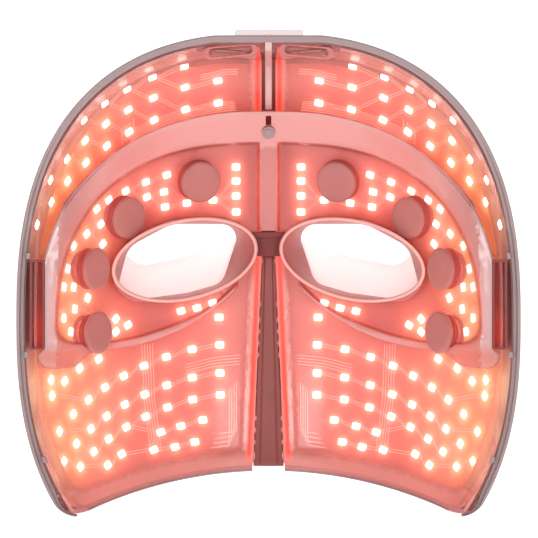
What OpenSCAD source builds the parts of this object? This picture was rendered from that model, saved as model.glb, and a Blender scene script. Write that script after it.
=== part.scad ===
// Wrap-around light therapy face mask.
// +Z up, the wearer's face comes in from -Y, the white shell faces +Y.
// The origin is in the middle of the flat rim, and the rim's front face is the plane y = 0.
// Left is -X, as seen from the wearer's side.

/* [Rim] */
// Half of the mask's width, at the rim's widest point
rim_half_w = 102; // [98:1:106]
// Half height of the full outline curve, of which the top and bottom are cut away
rim_half_h = 116; // [112:1:120]
// Height of the widest point
rim_mid_z = -12; // [-16:1:-8]
// Squareness of the outline: 2 is an ellipse
rim_power = 2.5; // [2.3:0.1:2.8]
// Height of the flat top
rim_top_z = 103; // [100:0.5:104]
// Width of the rim strip
rim_strip_w = 2.9; // [2.4:0.1:3.4]
// Depth of the rim strip
rim_strip_d = 4.5; // [4:0.5:6]

/* [Bottom edge] */
// Height of the bottom edge at the centre
arch_top_z = -78.8; // [-82:0.2:-76]
// Radius of the arch over the chin
arch_r = 225; // [200:5:260]
// Corner radius of the two cheek lobes
lobe_r = 12; // [9:0.5:14]
// Distance of the lobe corner's centre from the middle
lobe_x = 77; // [75:0.5:79]

/* [Shells] */
// Wall thickness of the white outer shell
shell_t = 2.2; // [1.8:0.1:2.6]
// Wall thickness of the clear liner
liner_t = 1.4; // [1:0.1:1.6]
// Wall thickness of the eye frame
frame_t = 1.6; // [1.2:0.1:1.8]
// Height of the centre ridge above the outer shell
ridge_h = 3; // [2:0.5:4]
// Width of the centre ridge
ridge_w = 30; // [24:1:34]
// Width of the spine strip between the two forehead panels
spine_w = 2.8; // [2.4:0.2:4]

/* [Massage pads] */
// Diameter of a pad
pad_d = 17.6; // [16:0.1:17.6]
// Thickness of a pad's cap
pad_cap_t = 2.2; // [1.8:0.1:2.6]
// Height of the cap's back above the panel
pad_rise = 4.2; // [4.1:0.1:5]
// Diameter of the pad's stem
stem_d = 11.6; // [11:0.1:12]
// How far a pad can be pressed in
pad_travel = 1; // [0.5:0.1:1]

/* [Lights] */
// Length, height and width of one LED package
led_size = [3.5, 0.7, 2.8]; // [0.7:0.1:3.5]
// Thickness of the flexible light boards
board_t = 0.4; // [0.3:0.1:0.6]

/* [Buttons] */
// Diameter of the power and mode buttons
button_d = 11; // [9:0.5:12]
// Travel of a button
button_travel = 0.6; // [0.3:0.1:0.6]

/* [Hidden] */
$fn = 96;
outline_step = 5;
bowl_power = 2.8;
bowl_low = -100;
bowl_high = 108;
bowl_step = 5;

// Each bowl is a body of revolution about an upright axis: [axis y, radius, half height]
shell_bowl = [-16, 103.5, 130];
liner_bowl = [-20, 96.4, 122.6];
frame_bowl = [-20, 88, 115];

// Insets of the upright walls from the rim's outline
liner_inset = 5;
rim_ledge_inset = 3.4;
rim_ledge_t = 1.5;
board_inset = 9;
edge_gap = 2.5;
liner_front_y = 2;

// Eye frame outlines: [half width, half height, middle z, power]
frame_outline = [94.5, 95.7, -20, 2.35];
panel_outline = [86.5, 82.9, -20, 2.6];
spine_proud = 3;
bridge_d = 4.6;
spine_lap = 2;
cheek_disc_x = 74;
cheek_disc_z = 57.5;
cheek_disc_r = 83.5;
panel_edge_w = 3;
frame_rib_w = 7.4;
frame_skirt = 7.6;
panel_drop = 2.5;
eye_board_rise = 5.2;

// Eye guard: a funnel from a tilted oval rim to a smaller cat-eye hole
eye_x = 35;
eye_z = 12.4;
eye_half_w = 31;
eye_half_h = 17.2;
eye_tilt = 13;
guard_rim_y = 49;
guard_hole_y = 71.6;
guard_rim_slope = -0.51;
guard_hole_slope = -0.42;
guard_wall = 1.6;
slot_tilt = 12.1;

// Pad places on the frame: [x, z]
pad_places = [[30.6, 46.7], [62.3, 30.6], [75.8, 8.7], [75, -17.9]];
pad_names = ["inner_brow", "outer_brow", "temple", "cheekbone"];
bore_gap = 0.4;
motor_d = 10;
motor_t = 3;
flange_d = 13.4;
flange_t = 0.8;
boot_d = 13.8;
boot_gap = 0.7;
boot_h = pad_rise - pad_travel - 0.8;
seat_gap = 0.4;

// Forehead LED rows: the places along a row, then [row height, first place, last place]
brow_led_x = [21.5, 35.3, 48.5, 58.8, 67.8, 76, 83, 89, 93.8];
brow_led_rows = [[79.4, 0, 8], [88.3, 0, 7], [96.3, 1, 5]];
// Cheek LED rows: the swings round the axis, then [row height, number of places]
cheek_led_swing = [12.5, 19.8, 26.8, 33.2, 39.3, 45.4, 51.3, 57.6, 64.5];
cheek_led_rows = [[-24.5, 9], [-36.7, 9], [-46.2, 8]];
// Single cheek LEDs below and beside the rows: [x, z]
cheek_led_extra = [[28.4, -56.9], [37.8, -59.3], [46.2, -61.6], [31.8, -66.2], [40.2, -68.1],
                   [49.1, -69], [62.2, -70], [67.7, -74.2], [79.1, -33.2], [84.6, -38.1],
                   [89.4, -37.2], [89, -43.8], [21.5, -12.5], [71.7, -29.5]];
// LEDs round the eyes: [x, z, roll]
eye_leds = [[43.3, 48.6, 18], [52, 45.4, 22], [60.2, 41.4, 28], [67, 37.5, 34], [71.7, 33.6, 38],
            [44.6, 41.4, 12], [51.7, 39.1, 22], [44.2, 35, 10], [70.2, 27.3, 35], [75.6, 23.1, 42],
            [69.5, 19, 40], [80.5, 18, 50], [82.7, 8.6, 70], [84.1, 1.1, 80], [80.6, 1, 80],
            [75.4, -3.6, 60], [80.2, -8.1, 80], [84.1, -11.7, 90], [81.6, -17.5, 80],
            [64.5, -12.6, 40], [59.6, -15.3, 30], [64.5, -18.1, 40], [14, 52.4, 0], [14, 46.4, 0],
            [14, 40, 0], [14, 33.1, 0], [35, 36.8, 8], [23.9, 38.2, 0], [37.6, -9.6, 14],
            [30.8, -8.3, 14], [24, -6.2, 14]];
led_room = 0.3;

// Electronics
board_size = [40, 1.2, 36];
board_mid = [0, 80.6, -26];
boss_x = 17;
boss_z = 14;
battery_size = [24, 3, 30];
battery_x = 26;
battery_z = 54;
port_z = -60;
port_size = [9, 7, 3.2];
button_places = [62, 40];

// Strap slots
top_slot_mid = [15.4, 97];
top_slot_size = [22.4, 5];
top_slot_hole = [17.6, 3.2];
top_slot_tilt = 5;
side_slot_mid = [93.6, -6];
side_slot_hole = [4.4, 34.6];
side_slot_wall = 0.8;

// Snap tabs
tab_heights = [13.9, -26.2, -68.7];
tab_h = 2.6;
tab_w = 1.6;
tab_gap = 0.05;

SIDES = ["left", "right"];
function pad_nodes(kind) = [for (s = SIDES, p = pad_names) str(p, kind, s)];
function pair(name) = [for (s = SIDES) str(name, "_", s)];

// ---- Curves ----

function signed_power(v, p) = sign(v) * pow(abs(v), p);

function oval_points(half_w, half_h, mid_z, power, top) =
    [for (a = [-90 : outline_step : 265])
        [half_w * signed_power(cos(a), 2 / power),
         min(top, mid_z + half_h * signed_power(sin(a), 2 / power))]];

function rim_points(inset) =
    oval_points(rim_half_w - inset, rim_half_h - inset, rim_mid_z, rim_power, rim_top_z - inset);

// Radius of a bowl at height z, grown outward by "grow"
function bowl_radius(bowl, grow, z) =
    (bowl[1] + grow)
    * pow(max(0, 1 - pow(abs(z - rim_mid_z) / (bowl[2] + grow), bowl_power)), 1 / bowl_power);

// How far the bowl's surface leans back from upright at height z, in degrees
function bowl_lean(bowl, z) =
    atan((bowl_radius(bowl, 0, z - 1) - bowl_radius(bowl, 0, z + 1)) / 2);

function brow_row_drop(x) = 98 * (1 - pow(1 - pow(x / 102, 2.2), 1 / 2.2));
function cheek_row_drop(swing) = 0.091 * pow(swing - 12.5, 1.5);

// ---- Building blocks ----

// Extrudes a shape drawn in x and z along y
module along_y(y_from, y_to) {
    translate([0, y_to, 0])
        rotate([90, 0, 0])
            linear_extrude(y_to - y_from)
                children();
}

module bowl(family, grow) {
    translate([0, family[0], 0])
        rotate_extrude(angle = 180, $fn = 240)
            polygon(concat(
                [[0, bowl_low]],
                [for (z = [bowl_low : bowl_step : bowl_high]) [bowl_radius(family, grow, z), z]],
                [[0, bowl_high]]));
}

module rim_prism(inset, y_from, y_to) {
    along_y(y_from, y_to) polygon(rim_points(inset));
}

// Everything below the bottom edge, and outside the rounded lobe corners
module below_edge(gap) {
    lobe_z = arch_top_z - arch_r + sqrt(pow(arch_r + lobe_r, 2) - lobe_x * lobe_x);
    along_y(-5, 120) {
        translate([0, arch_top_z - arch_r]) circle(arch_r + gap);
        for (s = [0, 1])
            mirror([s, 0])
                translate([-lobe_x, lobe_z])
                    difference() {
                        polygon([for (p = [[0, 0], [-150, 60], [-110, 75], [-71, 60]])
                            [p[1] * cos(p[0]), p[1] * sin(p[0])]]);
                        circle(lobe_r - gap);
                    }
    }
}

// A block that covers the left side between two heights, from a distance off the middle
module left_area(from_x, z_low, z_high) {
    translate([-120, -10, z_low]) cube([120 - from_x, 150, z_high - z_low]);
}

// Places a child on a bowl's surface, with its y axis along the surface's outward normal
module on_bowl(family, grow, x, z) {
    radius = bowl_radius(family, grow, z);
    swing = asin(x / radius);
    translate([x, family[0] + radius * cos(swing), z])
        rotate([0, 0, -swing])
            rotate([bowl_lean(family, z), 0, 0])
                children();
}

// A round bar along y from y_from to y_to
module bar_y(d, y_from, y_to) {
    translate([0, y_to, 0]) rotate([90, 0, 0]) cylinder(d = d, h = y_to - y_from);
}

module frame_area(outline, disc_r) {
    intersection() {
        polygon(oval_points(outline[0], outline[1], outline[2], outline[3], 200));
        union()
            for (s = [-1, 1])
                translate([s * cheek_disc_x, cheek_disc_z]) circle(disc_r);
    }
}

// ---- Eye guard shapes ----

module guard_oval(extra) {
    translate([eye_x, eye_z])
        rotate(-eye_tilt)
            scale([eye_half_w + extra, eye_half_h + extra])
                circle(1, $fn = 48);
}

module guard_hole(extra) {
    hull()
        for (c = [[19.6, 21.6, 5.9], [56.3, 2.6, 6], [38, 12.4, 14.5], [26.5, 9, 8]])
            translate([c[0], c[1]]) circle(c[2] + extra, $fn = 32);
}

// A sheet that follows a plane turned about z, so that its outline from the front stays true
module sloped(slope, x_mid) {
    multmatrix([[1, 0, 0, 0], [slope, 1, 0, -slope * x_mid], [0, 0, 1, 0]]) children();
}

module guard_body(extra, reach) {
    hull() {
        sloped(guard_rim_slope, eye_x)
            along_y(guard_rim_y - reach, guard_rim_y + 1 - reach) guard_oval(extra);
        sloped(guard_hole_slope, 38)
            along_y(guard_hole_y - 1 + reach, guard_hole_y + reach) guard_hole(guard_wall + extra);
    }
}

module eye_guard() {
    color("rosybrown")
        mirror([1, 0, 0])
            difference() {
                guard_body(0, 0);
                guard_body(-guard_wall, 2);
            }
}

module guard_clearance() {
    for (s = [0, 1])
        mirror([s, 0, 0]) guard_body(0.4, 1);
}

// ---- Shells ----

module shell_solid(grow) {
    intersection() {
        bowl(shell_bowl, grow);
        rim_prism(-grow, rim_strip_d, 110);
    }
}

module outer_shell() {
    color("white")
        difference() {
            union() {
                difference() {
                    shell_solid(0);
                    intersection() {
                        bowl(shell_bowl, -shell_t);
                        rim_prism(shell_t, 0, 110);
                    }
                }
                for (x = [-1, 1], z = [-1, 1])
                    translate([x * boss_x, 0, board_mid[2] + z * boss_z])
                        bar_y(5, board_mid[1] + board_size[1] / 2, 83.5);
            }
            below_edge(edge_gap);
            for (s = [-1, 1])
                translate([s * 38, 0, 23.3])
                    rotate([0, s * slot_tilt, 0])
                        along_y(40, 100) {
                            square([33, 18.6], center = true);
                            for (e = [-16.5, 16.5])
                                translate([e, 0]) circle(d = 18.6);
                        }
            for (x = [-1, 1], z = [-1, 1])
                translate([x * boss_x, 0, board_mid[2] + z * boss_z]) bar_y(2, 80, 83);
            button_bores();
            port_opening(0.15, 82, 90);
        }
}

module crown_ridge() {
    color("whitesmoke")
        difference() {
            intersection() {
                bowl(shell_bowl, ridge_h);
                rim_prism(-ridge_h, rim_strip_d + 1.5, 110);
                along_y(0, 110)
                    polygon([[-ridge_w / 2, 110], [ridge_w / 2, 110],
                             [ridge_w / 3, 28], [-ridge_w / 3, 28]]);
            }
            intersection() {
                bowl(shell_bowl, 0);
                rim_prism(0, 0, 110);
            }
            button_bores();
        }
}

module rim_frame() {
    color("rosybrown")
        difference() {
            union() {
                difference() {
                    rim_prism(0, 0, rim_strip_d);
                    rim_prism(rim_strip_w, -1, rim_strip_d + 1);
                }
                difference() {
                    rim_prism(rim_strip_w, rim_strip_d - rim_ledge_t, rim_strip_d);
                    rim_prism(rim_ledge_inset, 0, rim_strip_d + 1);
                }
            }
            below_edge(0);
            for (s = [-1, 1])
                translate([s * side_slot_mid[0], 0, side_slot_mid[1]])
                    cube([8, 20, 37], center = true);
            translate([-spine_w / 2, -1, rim_top_z - 10]) cube([spine_w, 1 + spine_lap, 20]);
        }
}

module bottom_trim() {
    color("lightpink")
        difference() {
            intersection() {
                shell_solid(0);
                below_edge(edge_gap);
                left_area(6.9, -140, 0);
            }
            below_edge(0);
            liner_void();
        }
}

module side_grip() {
    color("lightgray")
        mirror([1, 0, 0])
            difference() {
                along_y(rim_strip_d + 0.2, 13)
                    polygon(concat(
                        [for (i = [0 : 70])
                            let (z = -44 + i * 0.75)
                            [bowl_side(z) + (i % 2 == 0 ? 0 : 0.5), z]],
                        [for (i = [70 : -10 : 0])
                            let (z = -44 + i * 0.75)
                            [bowl_side(z) - 5, z]]));
                bowl(shell_bowl, 0);
            }
}

// Half width of the rim's outline at height z
function bowl_side(z) =
    rim_half_w * pow(1 - pow(abs(z - rim_mid_z) / rim_half_h, rim_power), 1 / rim_power);

module liner_void() {
    intersection() {
        bowl(liner_bowl, 0);
        rim_prism(liner_inset, -5, 110);
    }
}

module inner_liner() {
    color("salmon", 0.4)
        difference() {
            intersection() {
                bowl(liner_bowl, liner_t);
                rim_prism(liner_inset - liner_t, liner_front_y, 110);
                liner_side();
            }
            liner_void();
            below_edge(edge_gap);
            guard_clearance();
            strap_notches();
        }
}

// The area of the left liner half: straight beside the spine, opening out beside the nose strip
module liner_side() {
    along_y(0, 115)
        polygon([[-2.9, 110], [-2.9, 14], [-6.9, -80], [-6.9, -130], [-110, -130], [-110, 110]]);
}

module strap_notches() {
    for (s = [-1, 1]) {
        translate([s * top_slot_mid[0], 3, 98])
            cube([24.4, 13, 11], center = true);
        translate([s * side_slot_mid[0], 4, side_slot_mid[1]])
            cube([side_slot_hole[0] + 2.2, 16, side_slot_hole[1] + 2.2], center = true);
    }
}

module centre_spine() {
    color("thistle") {
        difference() {
            intersection() {
                bowl(liner_bowl, 1);
                rim_prism(3.4, rim_strip_d, 115);
                along_y(0, 115)
                    translate([-spine_w / 2, 76]) square([spine_w, 27]);
            }
            intersection() {
                bowl(liner_bowl, -spine_proud);
                rim_prism(liner_inset + spine_proud, -5, 110);
            }
        }
        translate([-spine_w / 2, 0, rim_top_z - 9]) cube([spine_w, rim_strip_d, 4]);
        translate([-spine_w / 2, 0, rim_top_z - 9]) cube([spine_w, spine_lap, 10]);
    }
}

module spine_catch() {
    color("indianred")
        on_bowl(frame_bowl, 0, 0, 67) {
            bar_y(5.5, -1.2, 1.5);
            bar_y(3.4, -1.7, -1.1);
        }
}

module nose_strip() {
    color("rosybrown")
        difference() {
            intersection() {
                bowl(liner_bowl, 2.4);
                along_y(0, 115)
                    polygon([[-2.7, 13.6], [2.7, 13.6], [6.5, -76.6], [-6.5, -76.6]]);
            }
            bowl(liner_bowl, 0.9);
        }
}

module nose_bridge() {
    color("brown")
        difference() {
            translate([-7.2, 69.8, 14.1]) cube([14.4, bridge_d, 10.4]);
            translate([-5.2, 68.8, 13.1]) cube([10.4, 3, 9]);
            guard_clearance();
        }
}

// ---- Eye frame ----

module frame_prism(inset, y_from) {
    along_y(y_from, 115)
        frame_area([frame_outline[0] - inset, frame_outline[1] - inset, frame_outline[2],
                    frame_outline[3]], cheek_disc_r - inset);
}

module panel_prism(outset, y_from) {
    along_y(y_from, 115)
        difference() {
            frame_area([panel_outline[0] + outset, panel_outline[1] + outset, panel_outline[2],
                        panel_outline[3]], cheek_disc_r - panel_edge_w + outset);
            square([frame_rib_w - 2 * outset, 250], center = true);
        }
}

module eye_frame() {
    color("salmon")
        difference() {
            intersection() {
                bowl(frame_bowl, frame_skirt);
                frame_prism(0, 1.2);
            }
            bowl(frame_bowl, 0);
            intersection() {
                bowl(frame_bowl, panel_drop);
                panel_prism(0, 0);
            }
            difference() {
                intersection() {
                    bowl(frame_bowl, frame_skirt + 3);
                    frame_prism(frame_t, 1.2 + frame_t);
                }
                bowl(frame_bowl, frame_t);
                intersection() {
                    bowl(frame_bowl, panel_drop + frame_t);
                    panel_prism(frame_t, 0);
                }
            }
            guard_clearance();
            strap_notches();
            translate([-7.6, 50, 0]) cube([15.2, 50, 25]);
            for (s = [0, 1], p = pad_places)
                mirror([s, 0, 0])
                    on_pad(p) {
                        bar_y(stem_d + 2 * bore_gap, -6, 8);
                        bar_y(boot_d + 2 * seat_gap, -boot_h - 1, 0);
                        bar_y(flange_d + 2 * seat_gap, frame_t, 8);
                    }
            // The light nearest the nose sits in a pocket in the foot's wall
            for (s = [0, 1])
                mirror([s, 0, 0]) eye_led(eye_leds[len(eye_leds) - 1], led_room);
            on_bowl(frame_bowl, 0, 0, 67) bar_y(5.5, -2, 1.6);
            on_bowl(frame_bowl, 0, 0, 71.6) cube([2.4, 1.6, 4], center = true);
        }
}

// ---- Massage pads ----

module on_pad(place) {
    on_bowl(frame_bowl, panel_drop, -place[0], place[1]) children();
}

module massage_pad(place) {
    color("rosybrown")
        on_pad(place)
            difference() {
                union() {
                    bar_y(pad_d, -pad_rise - pad_cap_t, -pad_rise);
                    bar_y(stem_d, -pad_rise, frame_t + 0.5);
                    bar_y(flange_d, frame_t + 0.5, frame_t + 0.5 + flange_t);
                }
                bar_y(motor_d + 0.2, -1.4, 10);
            }
}

module pad_motor(place) {
    color("silver")
        on_pad(place)
            bar_y(motor_d, -1.3, -1.3 + motor_t);
}

module pad_boots() {
    color("firebrick")
        for (p = pad_places)
            on_pad(p)
                difference() {
                    bar_y(boot_d, -boot_h, -boot_gap);
                    bar_y(stem_d + 2 * bore_gap, -boot_h - 1, 1);
                }
}

// ---- Lights ----

module board_sheet(family, grow) {
    difference() {
        bowl(family, grow + board_t);
        bowl(family, grow);
    }
}

module forehead_board() {
    color("indianred")
        difference() {
            intersection() {
                board_sheet(liner_bowl, liner_t + 1);
                rim_prism(board_inset, liner_front_y + 1, 110);
                left_area(8, 14, 110);
            }
            frame_prism(1, -5);
            strap_notches();
        }
}

module cheek_board() {
    color("indianred")
        difference() {
            intersection() {
                board_sheet(liner_bowl, liner_t + 1);
                rim_prism(board_inset, liner_front_y + 1, 110);
                left_area(12, -110, -9);
            }
            below_edge(9);
            frame_prism(2.5, -5);
            strap_notches();
            guard_clearance();
        }
}

module eye_board() {
    color("indianred")
        difference() {
            intersection() {
                board_sheet(frame_bowl, eye_board_rise);
                frame_prism(3, 6);
                left_area(9, -40, 90);
            }
            guard_clearance();
            strap_notches();
            for (p = pad_places)
                on_pad(p) bar_y(flange_d + 2, -6, 8);
        }
}

module led(family, grow, x, z, roll, room = 0) {
    on_bowl(family, grow, x, z)
        rotate([0, roll, 0])
            cube([for (size = led_size) size + 2 * room], center = true);
}

module forehead_leds() {
    color("ivory")
        for (row = brow_led_rows, i = [row[1] : row[2]]) {
            x = brow_led_x[i];
            z = row[0] - brow_row_drop(x) + brow_row_drop(brow_led_x[0]);
            led(liner_bowl, liner_t + 0.55, -x, z, -x * 0.62);
        }
}

module cheek_leds() {
    color("ivory") {
        for (row = cheek_led_rows, i = [0 : row[1] - 1]) {
            swing = cheek_led_swing[i];
            z = row[0] - cheek_row_drop(swing);
            x = bowl_radius(liner_bowl, liner_t, z) * sin(swing);
            led(liner_bowl, liner_t + 0.55, -x, z, -(swing - 12) * 0.75);
        }
        for (p = cheek_led_extra)
            led(liner_bowl, liner_t + 0.55, -p[0], p[1], -max(0, p[0] - 22) * 0.6);
    }
}

module eye_led(place, room = 0) {
    led(frame_bowl, eye_board_rise - 0.45, -place[0], place[1], -place[2], room);
}

module eye_leds_group() {
    color("ivory")
        for (p = eye_leds)
            eye_led(p);
}

// ---- Electronics and fasteners ----

module main_board() {
    color("darkgreen")
        difference() {
            union() {
                translate(board_mid) cube(board_size, center = true);
                for (c = [[-8, -6, 10, 8], [8, 6, 8, 8], [7, -8, 5, 4], [-9, 8, 6, 4]])
                    translate([c[0], board_mid[1] - board_size[1] / 2 - 0.4, board_mid[2] + c[1]])
                        cube([c[2], 0.9, c[3]], center = true);
            }
            for (x = [-1, 1], z = [-1, 1])
                translate([x * boss_x, 0, board_mid[2] + z * boss_z]) bar_y(2.4, 70, 90);
        }
}

module screws() {
    color("silver")
        for (x = [-1, 1], z = [-1, 1])
            translate([x * boss_x, 0, board_mid[2] + z * boss_z]) {
                front = board_mid[1] - board_size[1] / 2;
                bar_y(1.9, front - 0.2, 82.8);
                difference() {
                    bar_y(3.6, front - 1.2, front);
                    bar_y(1.4, front - 2, front - 0.6);
                }
            }
}

module battery_cell() {
    color("dimgray")
        on_bowl(liner_bowl, liner_t + 3.5, -battery_x, battery_z)
            cube(battery_size, center = true);
}

module port_outline(extra) {
    half_len = (port_size[0] - port_size[2]) / 2;
    square([2 * half_len, port_size[2] + 2 * extra], center = true);
    for (e = [-half_len, half_len])
        translate([e, 0]) circle(d = port_size[2] + 2 * extra);
}

module port_opening(extra, y_from, y_to) {
    translate([0, 0, port_z]) along_y(y_from, y_to) port_outline(extra);
}

module usb_port() {
    color("silver") {
        difference() {
            port_opening(0, 77.6, 84.6);
            port_opening(-0.4, 78.4, 90);
        }
        translate([0, 81, port_z]) cube([6, 5.4, 0.7], center = true);
    }
}

module on_ridge(z) {
    on_bowl(shell_bowl, ridge_h, 0, z) children();
}

module button_bores() {
    for (z = button_places)
        on_ridge(z) bar_y(button_d + 0.8, -8, 4);
}

module button(z) {
    color("gainsboro")
        on_ridge(z)
            difference() {
                union() {
                    bar_y(button_d, -6, button_travel + 0.3);
                    bar_y(button_d + 2.6, -6.9, -6);
                }
                translate([0, 8.4, 0]) sphere(r = 8);
            }
}

// Small blocks along the inside of the rim, which hold the liners' edges
module snap_tabs() {
    color("thistle")
        difference() {
            intersection() {
                rim_prism(rim_strip_w + tab_gap, 0.3, 1.8);
                for (s = [-1, 1], z = tab_heights)
                    translate([s * 96, 1, z]) cube([16, 3, tab_h], center = true);
            }
            rim_prism(rim_strip_w + tab_gap + tab_w, 0, 3);
        }
}

// ---- Strap slots ----

module top_slot_bezel() {
    color("lightcoral")
        translate([-top_slot_mid[0], 0, top_slot_mid[1]])
            rotate([0, -top_slot_tilt, 0])
                difference() {
                    along_y(rim_strip_d + 0.2, rim_strip_d + 3.2) stadium(top_slot_size);
                    along_y(0, 20) stadium(top_slot_hole);
                }
}

module stadium(size) {
    square([size[0] - size[1], size[1]], center = true);
    for (e = [-1, 1])
        translate([e * (size[0] - size[1]) / 2, 0]) circle(d = size[1]);
}

module side_slot_bezel() {
    color("rosybrown")
        translate([-side_slot_mid[0], 6, side_slot_mid[1]])
            difference() {
                cube([side_slot_hole[0] + 2 * side_slot_wall, 10,
                      side_slot_hole[1] + 2 * side_slot_wall], center = true);
                cube([side_slot_hole[0], 20, side_slot_hole[1]], center = true);
            }
}

// ---- Nodes ----

// Draws the left piece of a pair, or mirrors it for the right one
module pair_node(name, s) {
    mirror([s, 0, 0]) children();
}

outer_shell();
crown_ridge();
rim_frame();
centre_spine();
spine_catch();
nose_strip();
nose_bridge();
eye_frame();
main_board();
button(button_places[0]);  // power_button
button(button_places[1]);  // mode_button
usb_port();
screws();
snap_tabs();
for (s = [0, 1]) {
    pair_node("side_grip", s) side_grip();
    pair_node("bottom_trim", s) bottom_trim();
    pair_node("inner_liner", s) inner_liner();
    pair_node("eye_guard", s) eye_guard();
    pair_node("forehead_board", s) forehead_board();
    pair_node("cheek_board", s) cheek_board();
    pair_node("eye_board", s) eye_board();
    pair_node("forehead_leds", s) forehead_leds();
    pair_node("cheek_leds", s) cheek_leds();
    pair_node("eye_leds", s) eye_leds_group();
    pair_node("pad_boots", s) pad_boots();
    pair_node("battery_cell", s) battery_cell();
    pair_node("top_slot_bezel", s) top_slot_bezel();
    pair_node("side_slot_bezel", s) side_slot_bezel();
    for (i = [0 : 3]) {
        pair_node(str(pad_names[i], "_pad"), s) massage_pad(pad_places[i]);
        pair_node(str(pad_names[i], "_motor"), s) pad_motor(pad_places[i]);
    }
}
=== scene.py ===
"""The looks of the light therapy face mask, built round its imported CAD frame.

Shapes are worked out in millimetres, as the CAD is, and made in metres.
+Z is up, the wearer's face comes in from -Y, the white shell faces +Y, and left is -X.
"""

import math

import bmesh
import bpy
import numpy as np
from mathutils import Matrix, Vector
from mathutils.geometry import convex_hull_2d, delaunay_2d_cdt


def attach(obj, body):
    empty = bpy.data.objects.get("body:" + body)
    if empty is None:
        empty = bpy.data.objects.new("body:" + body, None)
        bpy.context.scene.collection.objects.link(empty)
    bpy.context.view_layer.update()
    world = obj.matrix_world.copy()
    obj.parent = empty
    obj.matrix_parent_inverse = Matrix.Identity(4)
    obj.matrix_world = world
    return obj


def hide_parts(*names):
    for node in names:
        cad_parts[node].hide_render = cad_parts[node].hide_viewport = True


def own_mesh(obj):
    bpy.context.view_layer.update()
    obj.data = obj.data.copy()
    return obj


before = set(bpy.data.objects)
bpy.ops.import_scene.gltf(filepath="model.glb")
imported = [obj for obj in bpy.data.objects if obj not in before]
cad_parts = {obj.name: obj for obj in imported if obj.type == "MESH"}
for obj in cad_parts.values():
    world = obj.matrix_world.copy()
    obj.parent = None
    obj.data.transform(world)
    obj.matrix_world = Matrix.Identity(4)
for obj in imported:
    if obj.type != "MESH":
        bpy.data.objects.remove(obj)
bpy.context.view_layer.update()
MM = 0.001
SIDES = (("left", -1), ("right", 1))

# ---- Sizes in millimetres, mostly as the CAD has them ----

RIM_HALF_W, RIM_HALF_H, MID_Z, RIM_POWER, RIM_TOP = 102, 116, -12, 2.5, 103
RIM_STRIP_W, RIM_STRIP_D = 2.9, 4.5
ARCH_TOP_Z, ARCH_R, LOBE_R, LOBE_X = -78.8, 225, 12, 77
LOBE_Z = ARCH_TOP_Z - ARCH_R + math.sqrt((ARCH_R + LOBE_R) ** 2 - LOBE_X**2)
LOBE_TURN = (-71, -150)
EDGE_GAP = 2.5
BOWL_POWER = 2.8
SHELL_BOWL = (-16, 103.5, 130)
LINER_BOWL = (-20, 96.4, 122.6)
FRAME_BOWL = (-20, 88, 115)
SHELL_T, LINER_T, FRAME_T = 2.2, 1.4, 1.6
SHELL_ROUND = 9
RIDGE_H, RIDGE_W, RIDGE_FOOT_Z = 3, 30, 28
SPINE_W, SPINE_PROUD = 2.8, 3
LINER_INSET, LINER_FRONT_Y, LINER_CORNER = 5, 2, 2.2
FRAME_OVAL = (94.5, 95.7, -20, 2.35)
FRAME_FRONT_Y = 1.2
SIDE_SLOT = (93.6, -6, 4.4, 34.6)
TOP_SLOT = (15.4, 97, (22.4, 5), (17.6, 3.2), 5)
PANEL_OVAL = (86.5, 82.9, -20, 2.6)
CHEEK_DISC = (74, 57.5, 83.5)
FOOT_BOX = (84.8, -20, 8.8, 12, 5)
PANEL_EDGE_W, FRAME_RIB_W, PANEL_DROP = 3, 7.4, 2.5
EYE_BOARD_RISE = 5.2
EYE_MID, EYE_HALF, EYE_TILT = (35, 12.4), (31, 17.2), 13
GUARD_RIM, GUARD_HOLE = (49, -0.51, 35), (71.6, -0.42, 38)
GUARD_WALL = 1.6
HOLE_MID = (38, 12.4)
HOLE_DISCS = ((20.4, 21.8, 6.2), (57, 2.4, 7), (38, 13, 15), (50.5, 10.3, 11.3), (26.5, 9, 8))
EYE_SLOT = (38, 23.3, 33, 18.6, 12.1)
PAD_PLACES = ((30.6, 46.7), (62.3, 30.6), (75.8, 8.7), (75, -17.9))
PAD_NAMES = ("inner_brow", "outer_brow", "temple", "cheekbone")
PAD_TRAVEL, BOOT_RISE, STEM_HOLE_R = 1, 3.4, 7.2
BUTTON_PLACES = (62, 40)
PORT_Z = -60

# ---- Curves and surfaces ----

CONTOUR_RAYS, CONTOUR_REACH, HALVINGS = 1440, 160, 24
CHUNK = 2000
TRIANGLE_H = 0.866


def bowl_radius(bowl, grow, z):
    share = np.abs(np.asarray(z, float) - MID_Z) / (bowl[2] + grow)
    return (bowl[1] + grow) * np.clip(1 - share**BOWL_POWER, 0, 1) ** (1 / BOWL_POWER)


def bowl_y(bowl, grow, x, z):
    radius = bowl_radius(bowl, grow, z)
    return bowl[0] + np.sqrt(np.clip(radius**2 - np.asarray(x, float) ** 2, 0, None))


def depth_distance(bowl, grow, front_y, x, z):
    """Roughly how far in x and z a point is inside the line where a bowl comes forward to front_y."""
    return (bowl_y(bowl, grow, x, z) - front_y) * 0.45


def bowl_normal(bowl, grow, x, z):
    radius = bowl_radius(bowl, grow, z)
    slope = (bowl_radius(bowl, grow, z - 1) - bowl_radius(bowl, grow, z + 1)) / 2
    lean = np.arctan(slope)
    swing = np.arcsin(np.clip(x / radius, -1, 1))
    return np.stack([np.sin(swing) * np.cos(lean), np.cos(swing) * np.cos(lean), np.sin(lean)], -1)


def bowl_point(bowl, grow, x, z):
    return np.array([x, float(bowl_y(bowl, grow, x, z)), z])


def gauge_distance(gauge, x, z):
    """Distance inside the curve gauge = 1, for a gauge that grows evenly from its middle."""
    step = 0.05
    here = gauge(x, z)
    slope_x = (gauge(x + step, z) - gauge(x - step, z)) / (2 * step)
    slope_z = (gauge(x, z + step) - gauge(x, z - step)) / (2 * step)
    return (1 - here) / np.maximum(np.hypot(slope_x, slope_z), 1e-3)


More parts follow.
